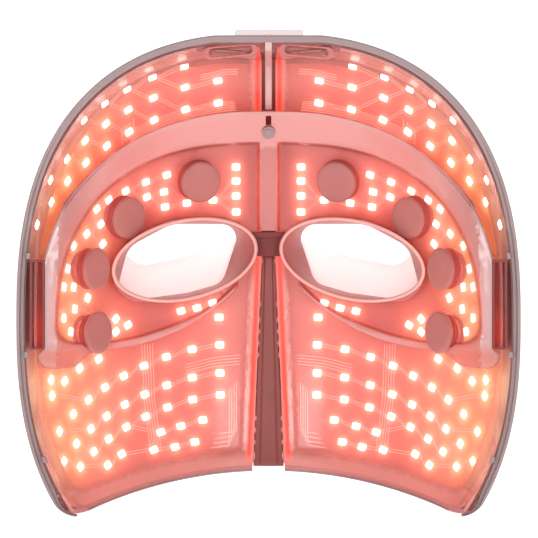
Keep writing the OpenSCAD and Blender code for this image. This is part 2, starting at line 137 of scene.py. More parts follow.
def oval_distance(half_w, half_h, mid_z, power, x, z):
    def gauge(gx, gz):
        sides = np.abs(gx / half_w) ** power + np.abs((gz - mid_z) / half_h) ** power
        return np.maximum(sides, 1e-9) ** (1 / power)

    return gauge_distance(gauge, x, z)


def rim_distance(inset, x, z):
    oval = oval_distance(RIM_HALF_W - inset, RIM_HALF_H - inset, MID_Z, RIM_POWER, x, z)
    return np.minimum(oval, RIM_TOP - inset - z)


def bottom_distance(gap, x, z):
    """Distance above the bottom edge: the arch over the chin and the round corner of each lobe."""
    arch = np.hypot(x, z - ARCH_TOP_Z + ARCH_R) - ARCH_R - gap
    out, down = np.abs(x) - LOBE_X, z - LOBE_Z
    turn = np.degrees(np.arctan2(down, -out))
    in_lobe = (turn > LOBE_TURN[1]) & (turn < LOBE_TURN[0])
    return np.where(in_lobe, np.minimum(arch, LOBE_R - gap - np.hypot(out, down)), arch)


def disc_distance(shrink, x, z):
    side = np.hypot(np.abs(x) - CHEEK_DISC[0], z - CHEEK_DISC[1])
    return CHEEK_DISC[2] - shrink - side


def smooth_min(first, second, reach):
    """The smaller of two distances, rounded off where they are nearly equal."""
    share = np.clip(0.5 + 0.5 * (second - first) / reach, 0, 1)
    return second * (1 - share) + first * share - reach * share * (1 - share)


def foot_distance(x, z):
    """Distance inside the round-cornered foot below the side slot."""
    mid_x, mid_z, half_w, half_h, radius = FOOT_BOX
    over_x = np.maximum(np.abs(np.abs(x) - mid_x) - half_w + radius, 0)
    over_z = np.maximum(np.abs(z - mid_z) - half_h + radius, 0)
    return radius - np.hypot(over_x, over_z)


def frame_distance(x, z):
    low_edge = -smooth_min(-disc_distance(0, x, z), -foot_distance(x, z), 5)
    return np.minimum(oval_distance(*FRAME_OVAL, x, z), low_edge)


def panel_distance(x, z):
    edge_w = PANEL_EDGE_W * (0.4 + 0.6 * smoothstep(np.abs(x), 22, 48))
    area = smooth_min(oval_distance(*PANEL_OVAL, x, z), disc_distance(edge_w, x, z), 7)
    return np.minimum(area, np.abs(x) - FRAME_RIB_W / 2)


def spine_distance(x, z):
    """Distance of a left point from the edge beside the spine and the nose strip."""
    edge = np.interp(z, [-130, -80, 14, 110], [6.9, 6.9, 2.9, 2.9])
    return -edge - x


def stripe(value, middle, width, power=2):
    """1 where the value is the middle one, and falling off evenly on both sides of it."""
    return np.exp(-(((value - middle) / width) ** power))


def smoothstep(value, low, high):
    t = np.clip((np.asarray(value, float) - low) / (high - low), 0, 1)
    return t * t * (3 - 2 * t)


def resample(loop, spacing, closed=True):
    points = np.vstack([loop, loop[:1]]) if closed else np.asarray(loop, float)
    lengths = np.linalg.norm(np.diff(points, axis=0), axis=1)
    along = np.concatenate([[0], np.cumsum(lengths)])
    count = max(6, round(along[-1] / spacing))
    places = np.linspace(0, along[-1], count + (0 if closed else 1), endpoint=not closed)
    return np.stack([np.interp(places, along, points[:, k]) for k in range(points.shape[1])], 1)


def contour(distance, level, centre, spacing):
    """The closed curve round a centre on which distance(x, z) equals level."""
    angle = np.linspace(0, 2 * np.pi, CONTOUR_RAYS, endpoint=False)
    away = np.stack([np.cos(angle), np.sin(angle)], 1)
    steps = np.linspace(0, CONTOUR_REACH, CONTOUR_REACH + 1)
    spots = np.asarray(centre, float) + away[:, None, :] * steps[None, :, None]
    outside = distance(spots[..., 0], spots[..., 1]) < level
    first = np.maximum(np.argmax(outside, axis=1), 1)
    low, high = steps[first - 1], steps[first]
    for _ in range(HALVINGS):
        middle = (low + high) / 2
        spots = np.asarray(centre, float) + away * middle[:, None]
        out = distance(spots[:, 0], spots[:, 1]) < level
        high = np.where(out, middle, high)
        low = np.where(out, low, middle)
    return resample(np.asarray(centre, float) + away * low[:, None], spacing)


def inside_loop(points, loop):
    """Which points lie inside a closed curve."""
    x, z = points[:, 0][:, None], points[:, 1][:, None]
    x0, z0 = loop[:, 0][None], loop[:, 1][None]
    x1, z1 = np.roll(loop[:, 0], -1)[None], np.roll(loop[:, 1], -1)[None]
    rise = np.where(z1 == z0, 1e-12, z1 - z0)
    crosses = ((z0 > z) != (z1 > z)) & (x < (x1 - x0) * (z - z0) / rise + x0)
    return crosses.sum(1) % 2 == 1


def nearest(points, others):
    """Each point's distance to the nearest of the others."""
    found = []
    for start in range(0, len(points), CHUNK):
        gap = points[start : start + CHUNK, None, :] - others[None]
        found.append(np.sqrt((gap**2).sum(2)).min(1))
    return np.concatenate(found) if found else np.zeros(0)


# ---- Meshes ----

MERGE_GAP = 0.004
SHARP_ANGLE = 35
EASED_ANGLE = 50


def make_object(name, points, faces, material, sharp_angle=SHARP_ANGLE):
    mesh = bpy.data.meshes.new(name)
    mesh.from_pydata([tuple(p) for p in np.asarray(points, float) * MM], [], faces)
    mesh.update()
    obj = bpy.data.objects.new(name, mesh)
    bpy.context.scene.collection.objects.link(obj)
    mesh.materials.append(material)
    tidy_mesh(obj, sharp_angle)
    return obj


def tidy_mesh(obj, sharp_angle):
    """Merges doubles, drops loose points and sets smooth shading with sharp edges."""
    bm = bmesh.new()
    bm.from_mesh(obj.data)
    bmesh.ops.remove_doubles(bm, verts=bm.verts, dist=MERGE_GAP * MM)
    bmesh.ops.dissolve_degenerate(bm, edges=bm.edges, dist=1e-7)
    loose = [v for v in bm.verts if not v.link_faces]
    bmesh.ops.delete(bm, geom=loose, context="VERTS")
    bm.to_mesh(obj.data)
    bm.free()
    obj.data.shade_smooth()
    obj.data.set_sharp_from_angle(angle=math.radians(sharp_angle))


def ease_edges(obj, width, segments, angle=EASED_ANGLE):
    """Adds a bevel of a width in millimetres to the edges that turn more than an angle."""
    ease = obj.modifiers.new("edges", "BEVEL")
    ease.width = width * MM
    ease.segments = segments
    ease.limit_method = "ANGLE"
    ease.angle_limit = math.radians(angle)
    return ease


def apply_modifiers(obj):
    depsgraph = bpy.context.evaluated_depsgraph_get()
    mesh = bpy.data.meshes.new_from_object(obj.evaluated_get(depsgraph))
    obj.modifiers.clear()
    obj.data = mesh
    mesh.shade_smooth()
    mesh.set_sharp_from_angle(angle=math.radians(SHARP_ANGLE))


def thicken(obj, thickness, bevel=0.3, outward=True, segments=2):
    """Gives a sheet a wall on the side away from the wearer, or towards it, with eased edges."""
    solid = obj.modifiers.new("wall", "SOLIDIFY")
    solid.thickness = thickness * MM
    solid.offset = -1 if outward else 1
    if bevel:
        ease_edges(obj, bevel, segments).use_clamp_overlap = False
    apply_modifiers(obj)


def fill(loops, holes, height, spacing):
    """Triangles between an outer loop, inner rings and holes, all drawn in x and z.

    The first of the loops is the outer edge. height(x, z) gives y. Returns points and faces,
    with each face turned towards the wearer.
    """
    flat, edges = [], []
    for loop in [*loops, *holes]:
        start = sum(len(part) for part in flat)
        count = len(loop)
        flat.append(loop)
        edges += [(start + i, start + (i + 1) % count) for i in range(count)]
    rings = np.vstack(flat)
    low, high = loops[0].min(0), loops[0].max(0)
    rows = np.arange(low[1], high[1], spacing * TRIANGLE_H)
    columns = np.arange(low[0], high[0], spacing)
    grid = np.array([(x + (i % 2) * spacing / 2, z) for i, z in enumerate(rows) for x in columns])
    grid = grid[inside_loop(grid, loops[0])]
    grid = grid[nearest(grid, rings) > spacing * 0.62]
    every = np.vstack([rings, grid])
    result = delaunay_2d_cdt([Vector(p) for p in every], edges, [], 0, 1e-5, False)
    points = np.array([(p[0], p[1]) for p in result[0]])
    faces = np.array([f for f in result[2] if len(f) == 3])
    middles = points[faces].mean(1)
    wanted = inside_loop(middles, loops[0])
    for hole in holes:
        wanted &= ~inside_loop(middles, hole)
    faces = faces[wanted]
    a, b, c = (points[faces[:, k]] for k in range(3))
    turn = (b[:, 0] - a[:, 0]) * (c[:, 1] - a[:, 1]) - (b[:, 1] - a[:, 1]) * (c[:, 0] - a[:, 0])
    faces = faces[np.abs(turn) > 1e-7]
    turn = turn[np.abs(turn) > 1e-7]
    faces[turn < 0] = faces[turn < 0][:, ::-1]
    y = height(points[:, 0], points[:, 1])
    return np.stack([points[:, 0], y, points[:, 1]], 1), [tuple(int(i) for i in f) for f in faces]


def open_edges(faces):
    """The directed edges that only one face uses."""
    seen = set()
    for face in faces:
        for i, corner in enumerate(face):
            seen.add((corner, face[(i + 1) % len(face)]))
    return [(a, b) for a, b in seen if (b, a) not in seen]


def add_walls(points, faces, wall_end, on_wall, steps=6):
    """Runs the sheet's edge back or forward to y = wall_end(x, y, z), where on_wall(x, z) says so."""
    points, faces = list(points), list(faces)
    rows = {}
    for a, b in open_edges(faces):
        ends = np.array([points[a], points[b]])
        if not np.all(on_wall(ends[:, 0], ends[:, 2])):
            continue
        for corner in (a, b):
            if corner in rows:
                continue
            x, y, z = points[corner]
            rows[corner] = [corner]
            for k in range(1, steps + 1):
                rows[corner].append(len(points))
                points.append(np.array([x, y + (wall_end(x, y, z) - y) * k / steps, z]))
        for k in range(steps):
            faces.append((rows[b][k], rows[a][k], rows[a][k + 1], rows[b][k + 1]))
    return np.array(points), faces


def quads(rows, columns, round_rows=False, round_columns=True):
    """The faces of a grid of points, which may close on itself along its rows or its columns."""
    faces = []
    for i in range(rows if round_rows else rows - 1):
        for k in range(columns if round_columns else columns - 1):
            j, m = (i + 1) % rows, (k + 1) % columns
            faces.append((i * columns + k, i * columns + m, j * columns + m, j * columns + k))
    return faces


def turned_over(faces):
    return [(a, d, c, b) for a, b, c, d in faces]


def sweep(path, section, up=(0, 1, 0)):
    """Runs a section of (side, up) offsets along an open path. The side is to the path's right."""
    path = np.asarray(path, float)
    ahead = np.roll(path, -1, 0) - np.roll(path, 1, 0)
    ahead[0], ahead[-1] = path[1] - path[0], path[-1] - path[-2]
    ahead /= np.linalg.norm(ahead, axis=1)[:, None]
    up = np.broadcast_to(np.asarray(up, float), path.shape)
    side = np.cross(ahead, up)
    side /= np.linalg.norm(side, axis=1)[:, None]
    rise = np.cross(side, ahead)
    section = np.asarray(section, float)
    if section.ndim == 2:
        section = np.broadcast_to(section, (len(path), *section.shape))
    count = section.shape[1]
    points = (
        path[:, None]
        + side[:, None] * section[..., 0][..., None]
        + rise[:, None] * section[..., 1][..., None]
    ).reshape(-1, 3)
    faces = turned_over(quads(len(path), count))
    faces.append(tuple(range(count))[::-1])
    faces.append(tuple((len(path) - 1) * count + k for k in range(count)))
    return points, faces


def round_box(width, height, radius, corner=4, mid=(0, 0)):
    """The points of a rectangle with round corners."""
    points = []
    for cx, cy, start in ((1, 1, 0), (-1, 1, 90), (-1, -1, 180), (1, -1, 270)):
        for k in range(corner + 1):
            a = math.radians(start + 90 * k / corner)
            across = mid[0] + cx * (width / 2 - radius) + radius * math.cos(a)
            points.append((across, mid[1] + cy * (height / 2 - radius) + radius * math.sin(a)))
    return np.array(points)


def lathe(profile, place, turns=64):
    """Turns (radius, height) points round the normal of a place: (point, outward normal)."""
    origin, axis = (np.asarray(v, float) for v in place)
    across = np.cross(axis, [0, 0, 1])
    across /= np.linalg.norm(across)
    other = np.cross(axis, across)
    points = []
    for k in range(turns):
        a = 2 * math.pi * k / turns
        spoke = across * math.cos(a) + other * math.sin(a)
        points += [origin + spoke * r + axis * h for r, h in profile]
    return np.array(points), turned_over(quads(turns, len(profile), True, False))


def add_piece(obj, node=None, body="root"):
    """Rides a piece on a body, in place of a CAD node if one is named."""
    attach(obj, body)
    if node:
        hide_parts(node)


def mirrored(points, faces, sign):
    """The left piece as it is for sign -1, or its mirror image for sign 1."""
    if sign < 0:
        return points, faces
    return points * np.array([-1, 1, 1]), [tuple(reversed(f)) for f in faces]


def joined(parts):
    points, faces, start = [], [], 0
    for more_points, more_faces in parts:
        points.append(more_points)
        faces += [tuple(i + start for i in f) for f in more_faces]
        start += len(more_points)
    return np.vstack(points), faces


# ---- Lights of the mask: where each LED is ----


def led_boxes(node):
    """Each LED of a CAD node: (middle, long axis, short axis, outward normal), in millimetres."""
    bm = bmesh.new()
    bm.from_mesh(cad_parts[node].data)
    bmesh.ops.remove_doubles(bm, verts=bm.verts, dist=1e-6)
    bm.verts.index_update()
    left, found = set(bm.verts), []
    while left:
        group, queue = set(), [left.pop()]
        while queue:
            vert = queue.pop()
            group.add(vert)
            for edge in vert.link_edges:
                other = edge.other_vert(vert)
                if other in left:
                    left.discard(other)
                    queue.append(other)
        spots = np.array([v.co for v in sorted(group, key=lambda vert: vert.index)], float) / MM
        middle = spots.mean(0)
        long_axis, _, normal = np.linalg.svd(spots - middle)[2]
        long_axis = long_axis * (1 if long_axis[0] > 0 else -1)
        normal = normal * (1 if normal[1] > 0 else -1)
        found.append((middle, long_axis, np.cross(long_axis, normal), normal))
    bm.free()
    return sorted(found, key=lambda led: tuple(np.round(led[0], 2)))


LED_NODES = [f"{kind}_leds_{side}" for side, _ in SIDES for kind in ("forehead", "cheek", "eye")]
LEDS = {node: led_boxes(node) for node in LED_NODES}
LED_SPOTS = np.array([led[0] for group in LEDS.values() for led in group])
HALO_R, GLOW_R = 2.3, 8.0


def add_glow(obj):
    """Writes how near each point is to the LEDs, "halo" close to one and "glow" further off, and "warm"
    towards the sides, for the painted LED glow of the materials.
    """
    mesh = obj.data
    spots = np.zeros(len(mesh.vertices) * 3)
    mesh.vertices.foreach_get("co", spots)
    spots = spots.reshape(-1, 3) / MM
    halo, glow = np.zeros(len(spots)), np.zeros(len(spots))
    for start in range(0, len(spots), CHUNK):
        part = slice(start, start + CHUNK)
        square = ((spots[part, None, :] - LED_SPOTS[None]) ** 2).sum(2)
        halo[part] = np.exp(-square / (2 * HALO_R**2)).sum(1)
        glow[part] = np.exp(-square / (2 * GLOW_R**2)).sum(1)
    add_attribute(mesh, "halo", halo)
    add_attribute(mesh, "glow", glow)
    add_attribute(mesh, "warm", smoothstep(np.abs(spots[:, 0]), 48, 92))
    return spots


def add_attribute(mesh, name, values):
    layer = mesh.attributes.get(name) or mesh.attributes.new(name, "FLOAT", "POINT")
    layer.data.foreach_set("value", np.asarray(values, np.float32))


# ---- Materials ----


def srgb(r, g, b):
    """An on-screen colour of 0 to 255 as a shader colour."""
    values = []
    for c in (r, g, b):
        c /= 255
        values.append(c / 12.92 if c <= 0.04045 else ((c + 0.055) / 1.055) ** 2.4)
    return (*values, 1)


class Shader:
    """A material with one Principled shader and short calls for the nodes that feed it."""

    def __init__(self, name, colour, rough=0.4, **sockets):
        self.material = bpy.data.materials.new(name)
        self.material.use_nodes = True
        self.nodes = self.material.node_tree.nodes
        self.links = self.material.node_tree.links
        self.main = self.nodes["Principled BSDF"]
        self.main.inputs["Base Color"].default_value = colour
        self.main.inputs["Roughness"].default_value = rough
        for socket, value in sockets.items():
            self.main.inputs[socket.replace("_", " ")].default_value = value

    def node(self, kind, **values):
        made = self.nodes.new(kind)
        for key, value in values.items():
            if hasattr(made, key):
                setattr(made, key, value)
            else:
                made.inputs[key.replace("_", " ")].default_value = value
        return made

    def feed(self, value, socket):
        """Sets a socket to a fixed number or colour, or links it to a node's output."""
        if isinstance(value, (int, float, tuple)):
            socket.default_value = value
        else:
            self.links.new(value, socket)

    def attribute(self, name):
        return self.node("ShaderNodeAttribute", attribute_name=name).outputs["Fac"]

    def place(self):
        return self.node("ShaderNodeTexCoord").outputs["Object"]

    def noise(self, scale, detail=3.0):
        made = self.node("ShaderNodeTexNoise", Scale=scale, Detail=detail, Roughness=0.5)
        self.feed(self.place(), made.inputs["Vector"])
        return made.outputs["Fac"]

    def ramp(self, source, *stops):
        made = self.nodes.new("ShaderNodeValToRGB")
        elements = made.color_ramp.elements
        while len(elements) < len(stops):
            elements.new(0.5)
        for element, (place, colour) in zip(elements, stops):
            element.position = place
            element.color = colour
        self.feed(source, made.inputs["Fac"])
        return made.outputs["Color"]

    def scaled(self, source, low, high, to_low, to_high):
        made = self.nodes.new("ShaderNodeMapRange")
        for socket, value in zip(("From Min", "From Max", "To Min", "To Max"), (low, high, to_low, to_high)):
            made.inputs[socket].default_value = value
        self.feed(source, made.inputs["Value"])
        return made.outputs["Result"]

    def maths(self, operation, first, second):
        made = self.nodes.new("ShaderNodeMath")
        made.operation = operation
        for socket, value in zip(made.inputs, (first, second)):
            self.feed(value, socket)
        return made.outputs["Value"]

    def mix(self, factor, first, second):
        made = self.nodes.new("ShaderNodeMix")
        made.data_type = "RGBA"
        for number, value in ((0, factor), (6, first), (7, second)):
            self.feed(value, made.inputs[number])
        return made.outputs[2]

    def into(self, value, socket):
        self.feed(value, self.main.inputs[socket])

    def bump(self, source, strength=0.1, distance=0.0002):
        made = self.node("ShaderNodeBump", Strength=strength, Distance=distance)
        self.feed(source, made.inputs["Height"])
        self.into(made.outputs["Normal"], "Normal")

    def grain(self, colour, spread=0.06, scale=60, rough=(0.35, 0.5), bump=0.05):
        """Slight change of colour and gloss over the surface, with a fine moulded texture."""
        dark = tuple(c * (1 - spread) for c in colour[:3]) + (1,)
        light = tuple(min(1, c * (1 + spread)) for c in colour[:3]) + (1,)
        self.into(self.ramp(self.noise(scale), (0.3, dark), (0.7, light)), "Base Color")
        self.into(self.scaled(self.noise(scale * 5), 0.3, 0.7, *rough), "Roughness")
        self.bump(self.noise(2600, 2), bump, 0.00005)
        return self


CORAL = srgb(226, 104, 92)
CORAL_LIGHT = srgb(250, 140, 122)
HOT = srgb(255, 226, 176)
PINK = srgb(238, 160, 152)


def trace_material():
    made = Shader("trace_pale", srgb(252, 186, 168), 0.4)
    shade = made.ramp(made.noise(400), (0.3, srgb(250, 170, 150)), (0.7, srgb(255, 206, 184)))
    # Painted glow: the traces emit as if lit by the LEDs around them.
    made.into(shade, "Emission Color")
    made.into(0.75, "Emission Strength")
    return made.material


def plain_material(name, colour, rough=(0.35, 0.5), spread=0.05, bump=0.05, **sockets):
    return Shader(name, colour, **sockets).grain(colour, spread, 60, rough, bump).material


def board_material():
    """A flexible light board: coral film with painted LED light, its colour and its emission painted brighter
    near each LED and warmer towards the sides.
    """
    made = Shader("light_board_film", CORAL, 0.5)
    glow = made.attribute("glow")
    halo = made.attribute("halo")
    warm = made.attribute("warm")
    # Painted light: the film's colour is brighter where the LEDs' glow falls.
    base = made.ramp(made.scaled(glow, 0.0, 2.2, 0, 1), (0, srgb(206, 100, 94)), (1, srgb(236, 122, 106)))
    made.into(made.mix(made.noise(35), base, srgb(212, 106, 98)), "Base Color")
    cool_light = made.ramp(
        halo, (0, srgb(226, 98, 84)), (0.16, srgb(240, 118, 98)), (0.5, srgb(255, 176, 140)), (0.9, HOT)
    )
    warm_light = made.ramp(
        halo, (0, srgb(250, 160, 96)), (0.1, srgb(255, 190, 112)), (0.4, srgb(255, 206, 140)), (0.9, HOT)
    )
    # Painted glow: emission near each LED, warmer and stronger towards the sides.
    made.into(made.mix(warm, cool_light, warm_light), "Emission Color")
    near = made.maths("MULTIPLY", made.scaled(halo, 0, 1, 0, 0.6), made.scaled(warm, 0, 1, 0.8, 1.5))
    far = made.maths("MULTIPLY", made.scaled(glow, 0, 2.5, 0.2, 0.42), made.scaled(warm, 0, 1, 1, 2.0))
    made.into(made.maths("ADD", near, far), "Emission Strength")
    return made.material


def clear_material(name, tint, edge_tint, painted_shade_tint, alpha):
    """A clear tinted moulding: see-through in its field and denser at its border, with painted light: an
    emission glow near the LEDs, painted glowing edge lines, painted shade lines and painted highlight bands.
    """
    made = Shader(name, tint, 0.22, Coat_Weight=0.8, Coat_Roughness=0.16, IOR=1.46)
    border = made.attribute("border")
    edge = made.attribute("edge")
    line = made.attribute("line")
    halo = made.attribute("halo")
    glow = made.attribute("glow")
    field = made.mix(made.noise(25), tint, tuple(c * 0.92 for c in tint[:3]) + (1,))
    # Painted highlight: paler on the marked bands. Painted glow: red along the marked edge line.
    surface = made.mix(made.attribute("pale"), made.mix(border, field, edge_tint), srgb(214, 180, 180))
    surface = made.mix(edge, surface, srgb(214, 66, 52))
    # Painted shade: darker along the marked lines, which also dims the glow there.
    made.into(made.mix(line, surface, painted_shade_tint), "Base Color")
    # Painted glow: emission stronger near the LEDs and along the edge line.
    made.into(made.mix(edge, CORAL_LIGHT, srgb(236, 62, 46)), "Emission Color")
    light = made.maths("ADD", made.scaled(glow, 0, 2.5, 0.04, 0.18), made.maths("MULTIPLY", edge, 0.9))
    dimmed = made.maths("MULTIPLY", light, made.maths("SUBTRACT", 1.0, made.maths("MULTIPLY", line, 0.8)))
    made.into(dimmed, "Emission Strength")
    see = made.maths("ADD", made.maths("MULTIPLY", border, 0.84 - alpha), alpha)
    see = made.maths("MAXIMUM", see, made.maths("MULTIPLY", made.maths("MAXIMUM", edge, line), 0.95))
    clear_spot = made.scaled(halo, 0.3, 1.0, 0, 0.2)
    made.into(made.maths("SUBTRACT", see, clear_spot), "Alpha")
    made.into(made.scaled(made.noise(60), 0.3, 0.7, 0.22, 0.27), "Roughness")
    return made.material


def shell_material():
    """Gloss white, with painted light: a glow painted as emission where LED light would fall on its inner
    face beside the eye holes, and on the crown ridge's front face.
    """
    white = srgb(222, 219, 219)
    made = Shader("shell_white", white, Coat_Weight=0.5)
    made.grain(white, 0.015, 60, (0.12, 0.2), 0.02)
    made.into(srgb(255, 228, 225), "Emission Color")
    made.into(made.attribute("painted_light"), "Emission Strength")
    return made.material


def led_material():
    made = Shader("led_phosphor", srgb(255, 246, 232), 0.4)
    shade = made.ramp(made.noise(900), (0.3, srgb(255, 240, 220)), (0.7, srgb(255, 250, 240)))
    made.into(shade, "Emission Color")
    made.into(4, "Emission Strength")
    return made.material


def soft_material(name, colour, glow_colour, light):
    """Matte silicone with a painted glow of the LED light coming through it, and a painted highlight along
    its lip.
    """
    made = Shader(name, colour, 0.55, Sheen_Weight=0.25, Sheen_Roughness=0.5)
    made.grain(colour, 0.05, 90, (0.5, 0.62), 0.06)
    grain_colour = made.main.inputs["Base Color"].links[0].from_socket
    # Painted highlight: paler along the marked lip. Painted glow: emission stronger near the LEDs.
    made.into(made.mix(made.attribute("lip"), grain_colour, srgb(250, 196, 188)), "Base Color")
    made.into(glow_colour, "Emission Color")
    made.into(made.scaled(made.attribute("glow"), 0, 1.6, *light), "Emission Strength")
    return made.material


def slot_material():
    """Dark red, with a painted glow as if lit from one side by the LEDs behind it."""
    made = Shader("slot_red", srgb(128, 40, 36), 0.5)
    made.grain(srgb(128, 40, 36), 0.06, 80, (0.4, 0.55), 0.05)
    made.into(srgb(214, 48, 36), "Emission Color")
    made.into(made.scaled(made.attribute("lit"), 0, 1, 0.3, 0.9), "Emission Strength")
    return made.material


SHELL_WHITE = shell_material()
SLOT_RED = slot_material()
RIM_MAUVE = plain_material("rim_mauve", srgb(170, 145, 145), (0.3, 0.42), 0.05, 0.05)
SPINE_MAUVE = plain_material("spine_mauve", srgb(222, 184, 182), (0.3, 0.4), 0.04, 0.04)
STRIP_BROWN = plain_material("strip_brown", srgb(148, 79, 74), (0.38, 0.5), 0.06, 0.05)
# Painted shade: a brown for the sheet behind the gaps beside the spine and the ledge in the rim groove.
GAP_SHADE_BROWN = plain_material("gap_shade_brown", srgb(156, 102, 99), (0.4, 0.5), 0.06, 0.05)
BRIDGE_BROWN = plain_material("bridge_brown", srgb(134, 46, 40), (0.4, 0.5), 0.06, 0.06)
TRIM_PINK = plain_material("trim_pink", srgb(214, 150, 148), (0.3, 0.42), 0.05, 0.04)
BEZEL_PINK = plain_material("bezel_pink", srgb(206, 122, 118), (0.25, 0.35), 0.05, 0.04)
SLOT_BROWN = plain_material("slot_brown", srgb(196, 128, 122), (0.35, 0.5), 0.06, 0.05)
GRIP_GREY = plain_material("grip_grey", srgb(176, 162, 164), (0.5, 0.6), 0.06, 0.08)
BUTTON_GREY = plain_material("button_grey", srgb(214, 212, 212), (0.3, 0.4), 0.03, 0.04)
BOARD_GREEN = plain_material("solder_mask", srgb(30, 92, 58), (0.3, 0.42), 0.12, 0.05)
WRAP_GREY = plain_material("battery_film", srgb(96, 100, 106), (0.35, 0.5), 0.06, 0.06)
STEEL = plain_material("bright_steel", srgb(196, 196, 200), (0.25, 0.4), 0.04, 0.04, Metallic=1.0)
TRACE_PALE = trace_material()
BOARD_FILM = board_material()
LINER_CLEAR = clear_material("liner_clear", srgb(240, 166, 158), PINK, srgb(150, 52, 46), 0.3)
FRAME_TINTED = clear_material(
    "frame_tinted", srgb(232, 146, 140), srgb(236, 168, 164), srgb(150, 56, 50), 0.36
)
LED_LIT = led_material()
GUARD_SOFT = soft_material("guard_silicone", srgb(186, 100, 94), srgb(226, 92, 80), (0.03, 0.24))
PAD_SOFT = soft_material("pad_silicone", srgb(188, 119, 114), srgb(226, 92, 80), (0.02, 0.1))
BOOT_RED = soft_material("boot_silicone", srgb(140, 66, 62), srgb(226, 60, 46), (0.03, 0.34))

# ---- Outer shell and ridge ----


def dome_height(bowl, grow, inset, y_start, round_r, x, z):
    """A bowl's y, rounded down towards the upright wall at an inset from the rim."""
    y = bowl_y(bowl, grow, x, z)
    radius = np.clip((y - y_start) * 0.5, 0.4, round_r)
    share = np.clip(1 - rim_distance(inset, x, z) / radius, 0, 1)
    return np.maximum(y - radius * (1 - np.sqrt(1 - share**2)), np.minimum(y_start, y))


def dome_rings(distance, centre, round_r, spacing):
    levels = [round_r * (1 - math.sin(math.radians(a))) for a in (90, 66, 45, 28, 12, 0)]
    return [contour(distance, level, centre, spacing) for level in levels]


def rotated(points, degrees):
    """Points of x and z, turned about the origin."""
    x, z = np.asarray(points, float).T
    a = math.radians(degrees)
    return np.stack([x * math.cos(a) - z * math.sin(a), x * math.sin(a) + z * math.cos(a)], 1)


def stadium_loop(mid_x, mid_z, straight, height, tilt, spacing=1.0):
    radius = height / 2
    points = []
    for sign, start in ((1, -90), (-1, 90)):
        for k in range(25):
            a = math.radians(start + 180 * k / 24)
            points.append((sign * straight / 2 + radius * math.cos(a), radius * math.sin(a)))
    return resample(rotated(points, tilt) + (mid_x, mid_z), spacing)


def round_loop(mid_x, mid_z, radius, spacing=0.8):
    count = max(16, round(2 * math.pi * radius / spacing))
    angle = np.linspace(0, 2 * np.pi, count, endpoint=False)
    return np.stack([mid_x + radius * np.cos(angle), mid_z + radius * np.sin(angle)], 1)


def outer_shell():
    start = RIM_STRIP_D

    def distance(x, z):
        sides = np.minimum(rim_distance(0, x, z), bottom_distance(EDGE_GAP, x, z))
        return np.minimum(sides, (bowl_y(SHELL_BOWL, 0, x, z) - start) * 0.5)

    def height(x, z):
        return dome_height(SHELL_BOWL, 0, 0, start, SHELL_ROUND, x, z)

    mid_x, mid_z, straight, height_z, tilt = EYE_SLOT
    holes = [stadium_loop(s * mid_x, mid_z, straight, height_z, -s * tilt) for _, s in SIDES]
    holes.append(stadium_loop(0, PORT_Z, 6, 3.6, 0, 0.6))
    holes += [round_loop(0, z, 5.6) for z in BUTTON_PLACES]
    points, faces = fill(dome_rings(distance, (0, 0), SHELL_ROUND, 2.2), holes, height, 2.4)
    points, faces = add_walls(
        points, faces, lambda x, y, z: min(start, y),
        lambda x, z: (bottom_distance(EDGE_GAP, x, z) > 0.3) & (rim_distance(0, x, z) < 0.3),
    )
    shell = make_object("outer_shell_looks", points, faces, SHELL_WHITE)
    thicken(shell, SHELL_T, 0.5, outward=False, segments=3)
    spots = add_glow(shell)
    # Painted light: the inner face near each eye hole glows, standing in for LED light falling there.
    inner = spots[:, 1] < bowl_y(SHELL_BOWL, -SHELL_T / 2, spots[:, 0], spots[:, 2])
    near_eye = 1 - smoothstep(np.hypot(np.abs(spots[:, 0]) - EYE_SLOT[0], spots[:, 2] - 12), 22, 36)
    add_attribute(shell.data, "painted_light", 0.66 * inner * near_eye)
    add_piece(shell, "outer_shell")


def crown_ridge():
    start = RIM_STRIP_D + 1.5

    def distance(x, z):
        half = np.interp(z, [RIDGE_FOOT_Z, 110], [RIDGE_W / 3, RIDGE_W / 2])
        sides = np.minimum(half - np.abs(x), z - RIDGE_FOOT_Z)
        return np.minimum(sides, rim_distance(-RIDGE_H, x, z))

    def height(x, z):
        return dome_height(SHELL_BOWL, RIDGE_H - 0.15, -RIDGE_H, start, SHELL_ROUND, x, z)

    holes = [round_loop(0, z, 5.9, 0.7) for z in BUTTON_PLACES]
    rings = [contour(distance, level, (0, 66), 1.4) for level in (0, 0.8, 2.2, 4.5)]
    points, faces = fill(rings, holes, height, 2.0)
    points, faces = add_walls(
        points, faces, lambda x, y, z: min(start, y), lambda x, z: rim_distance(-RIDGE_H, x, z) < 0.3
    )
    ridge = make_object("crown_ridge_looks", points, faces, SHELL_WHITE)
    thicken(ridge, RIDGE_H - 0.1, 1.1, outward=False, segments=4)
    spots = add_glow(ridge)
    # Painted light: the ridge's front face glows a little, standing in for studio light on it.
    add_attribute(ridge.data, "painted_light", 0.45 * (1 - smoothstep(spots[:, 1], 5, 14)))
    add_piece(ridge, "crown_ridge")


# ---- Rim, spine and trims ----


def rim_path(inset, y):
    """The rim's outline from the left lobe over the top to the right one."""

    def distance(x, z):
        return np.minimum(rim_distance(inset, x, z), bottom_distance(0, x, z) - inset)

    loop = contour(distance, 0, (0, 0), 1.2)
    keep = (np.abs(loop[:, 0]) >= LOBE_X) | (loop[:, 1] >= 0)
    first = next(i for i in range(len(loop)) if keep[i] and not keep[i - 1])
    order = np.roll(np.arange(len(loop)), -first)
    ends = [i for i in order if keep[i]]
    if loop[ends[0], 0] > 0:
        ends.reverse()
    return np.stack([loop[ends][:, 0], np.full(len(ends), y), loop[ends][:, 1]], 1)


